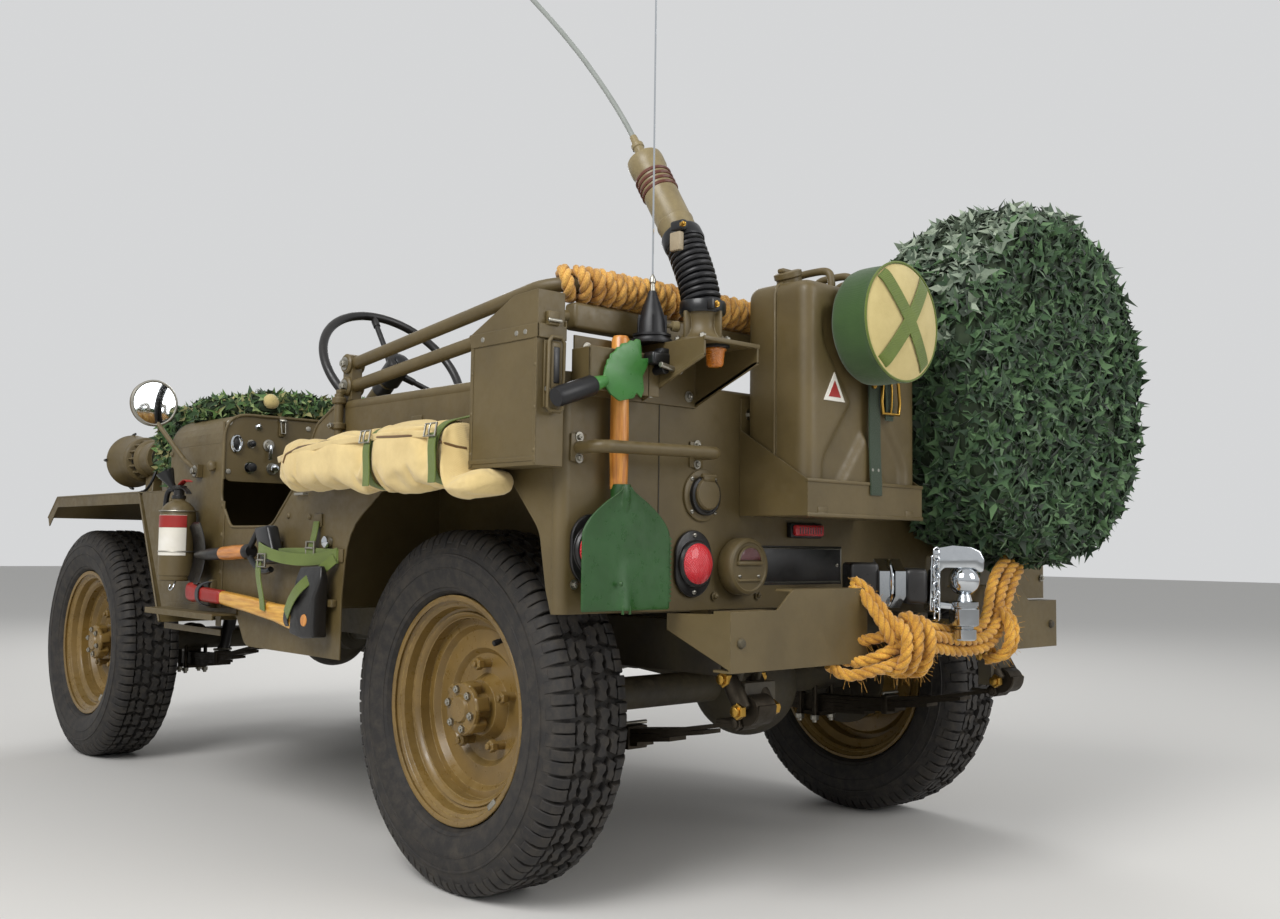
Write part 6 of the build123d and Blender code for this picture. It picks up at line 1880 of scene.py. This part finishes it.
fin = block((2125.3, -1.2, 545), (2128.5, 1.2, 912), 0)
front += [coated(f, spring_steel) for f in copied(fin, [moved(y=9.4 * i) for i in range(-25, 26)])]
front += dress(olive, capped([(0, 4), (1060, 4)], (1187, -530, 984.5), LEFT, 12))
for side in (1, -1):
    for x in (1260, 1500, 1760, 2020):
        for y in (430, 770):
            front += dress(olive, lathe([(0, 0), (0, 6), (2, 5.4), (3.4, 3), (4, 0)], (x, side * y, 807), UP,
                12))
kept("front_end_fittings", front, "chrome")

# %% [markdown]
# Below, the axles hang on leaf springs by U bolts, with telescopic dampers,
# spring clips and straps on the exhaust. One set is made for one spring and
# copied to the four springs, mirrored for the right side.
# %% Below the frame
U_BOLT = [(-33, 246), (-33, 340), (-30, 388), (0, 398), (30, 388), (33, 340), (33, 246)]


def spring_set(x, y, damper_y, lean_by):
    made = []
    for dx in (-24, 24):
        made += dress(spring_steel, tube([(x + dx, y + dy, z) for dy, z in U_BOLT], 6))
        made += [coated(nut((x + dx, y + s * 33, 256), (0, 0, -1), 19, 12, 6, 6), zinc) for s in (-1, 1)]
    for dx in (-230, 230):
        rise = 60 * (dx / 520) ** 2
        made += dress(spring_steel, block((x + dx - 9, y - 26, 268 + rise), (x + dx + 9, y + 26, 313 + rise),
            3))
        made += dress(zinc, bar((x + dx, y - 30, 318 + rise), (x + dx, y + 30, 318 + rise), 4))
    for dx in (-526, 526):
        for s in (-1, 1):
            made += dress(spring_steel, nut((x + dx, y + s * 22, 364), (0, s, 0), 22, 10, 8, 5))
    if x == 0:
        made += dress(spring_steel, capped([(-25, 27), (25, 27)], (-546, y, 388), LEFT, 32),
            strap([(-470, y, 362), (-500, y, 362), (-530, y, 362), (-556, y, 364), (-572, y, 378),
            (-574, y, 398)], LEFT, 46, 7))
        for s in (-1, 1):
            made += dress(spring_steel, bar((-546, y + s * 31, 388), (-512, y + s * 31, 441), 17, 2, 24))
            made += dress(olive_dull, cut([(-470, 524), (-560, 524), (-534, 440), (-520, 424), (-504, 428),
                (-496, 444)], "y", y + s * 24 - 4, y + s * 24 + 4, 2))
            for px, pz in ((-546, 388), (-512, 441)):
                made += dress(brass, nut((px, y + s * 40, pz), (0, s, 0), 26, 12, 9, 7))
    low, high = Vector((x + lean_by * 0.45, damper_y, 318)), Vector((x + lean_by, damper_y, 478))
    way = high - low
    made += dress(black_enamel, capped([(-14, 14), (0, 16), (way.length * 0.5, 16)], low, way, 24),
        capped([(way.length * 0.42, 21), (way.length - 12, 21), (way.length, 14), (way.length + 8, 8)], low,
        way, 28))
    made += [coated(bar(end + Vector((0, -20, 0)), end + Vector((0, 20, 0)), 9), spring_steel)
        for end in (low, high)]
    return made


below = spring_set(0, 420, 296, 120) + spring_set(2032, 352, 268, -120)
left = united(below)
right = twin_of(left, MIRROR)
kept("springs_fittings_left", left, "spring_steel")
kept("springs_fittings_right", right, "spring_steel")
hangers = []
for x in (820, 560):
    hangers += dress(zinc, hoop((x, -260, 400), 64, 3.4, 28, sides=2))
    hangers += dress(black_rubber, strap([(x, -262, 464), (x, -266, 490), (x, -268, 531)], AHEAD, 22, 3))
kept("exhaust_hangers", hangers, "spring_steel")
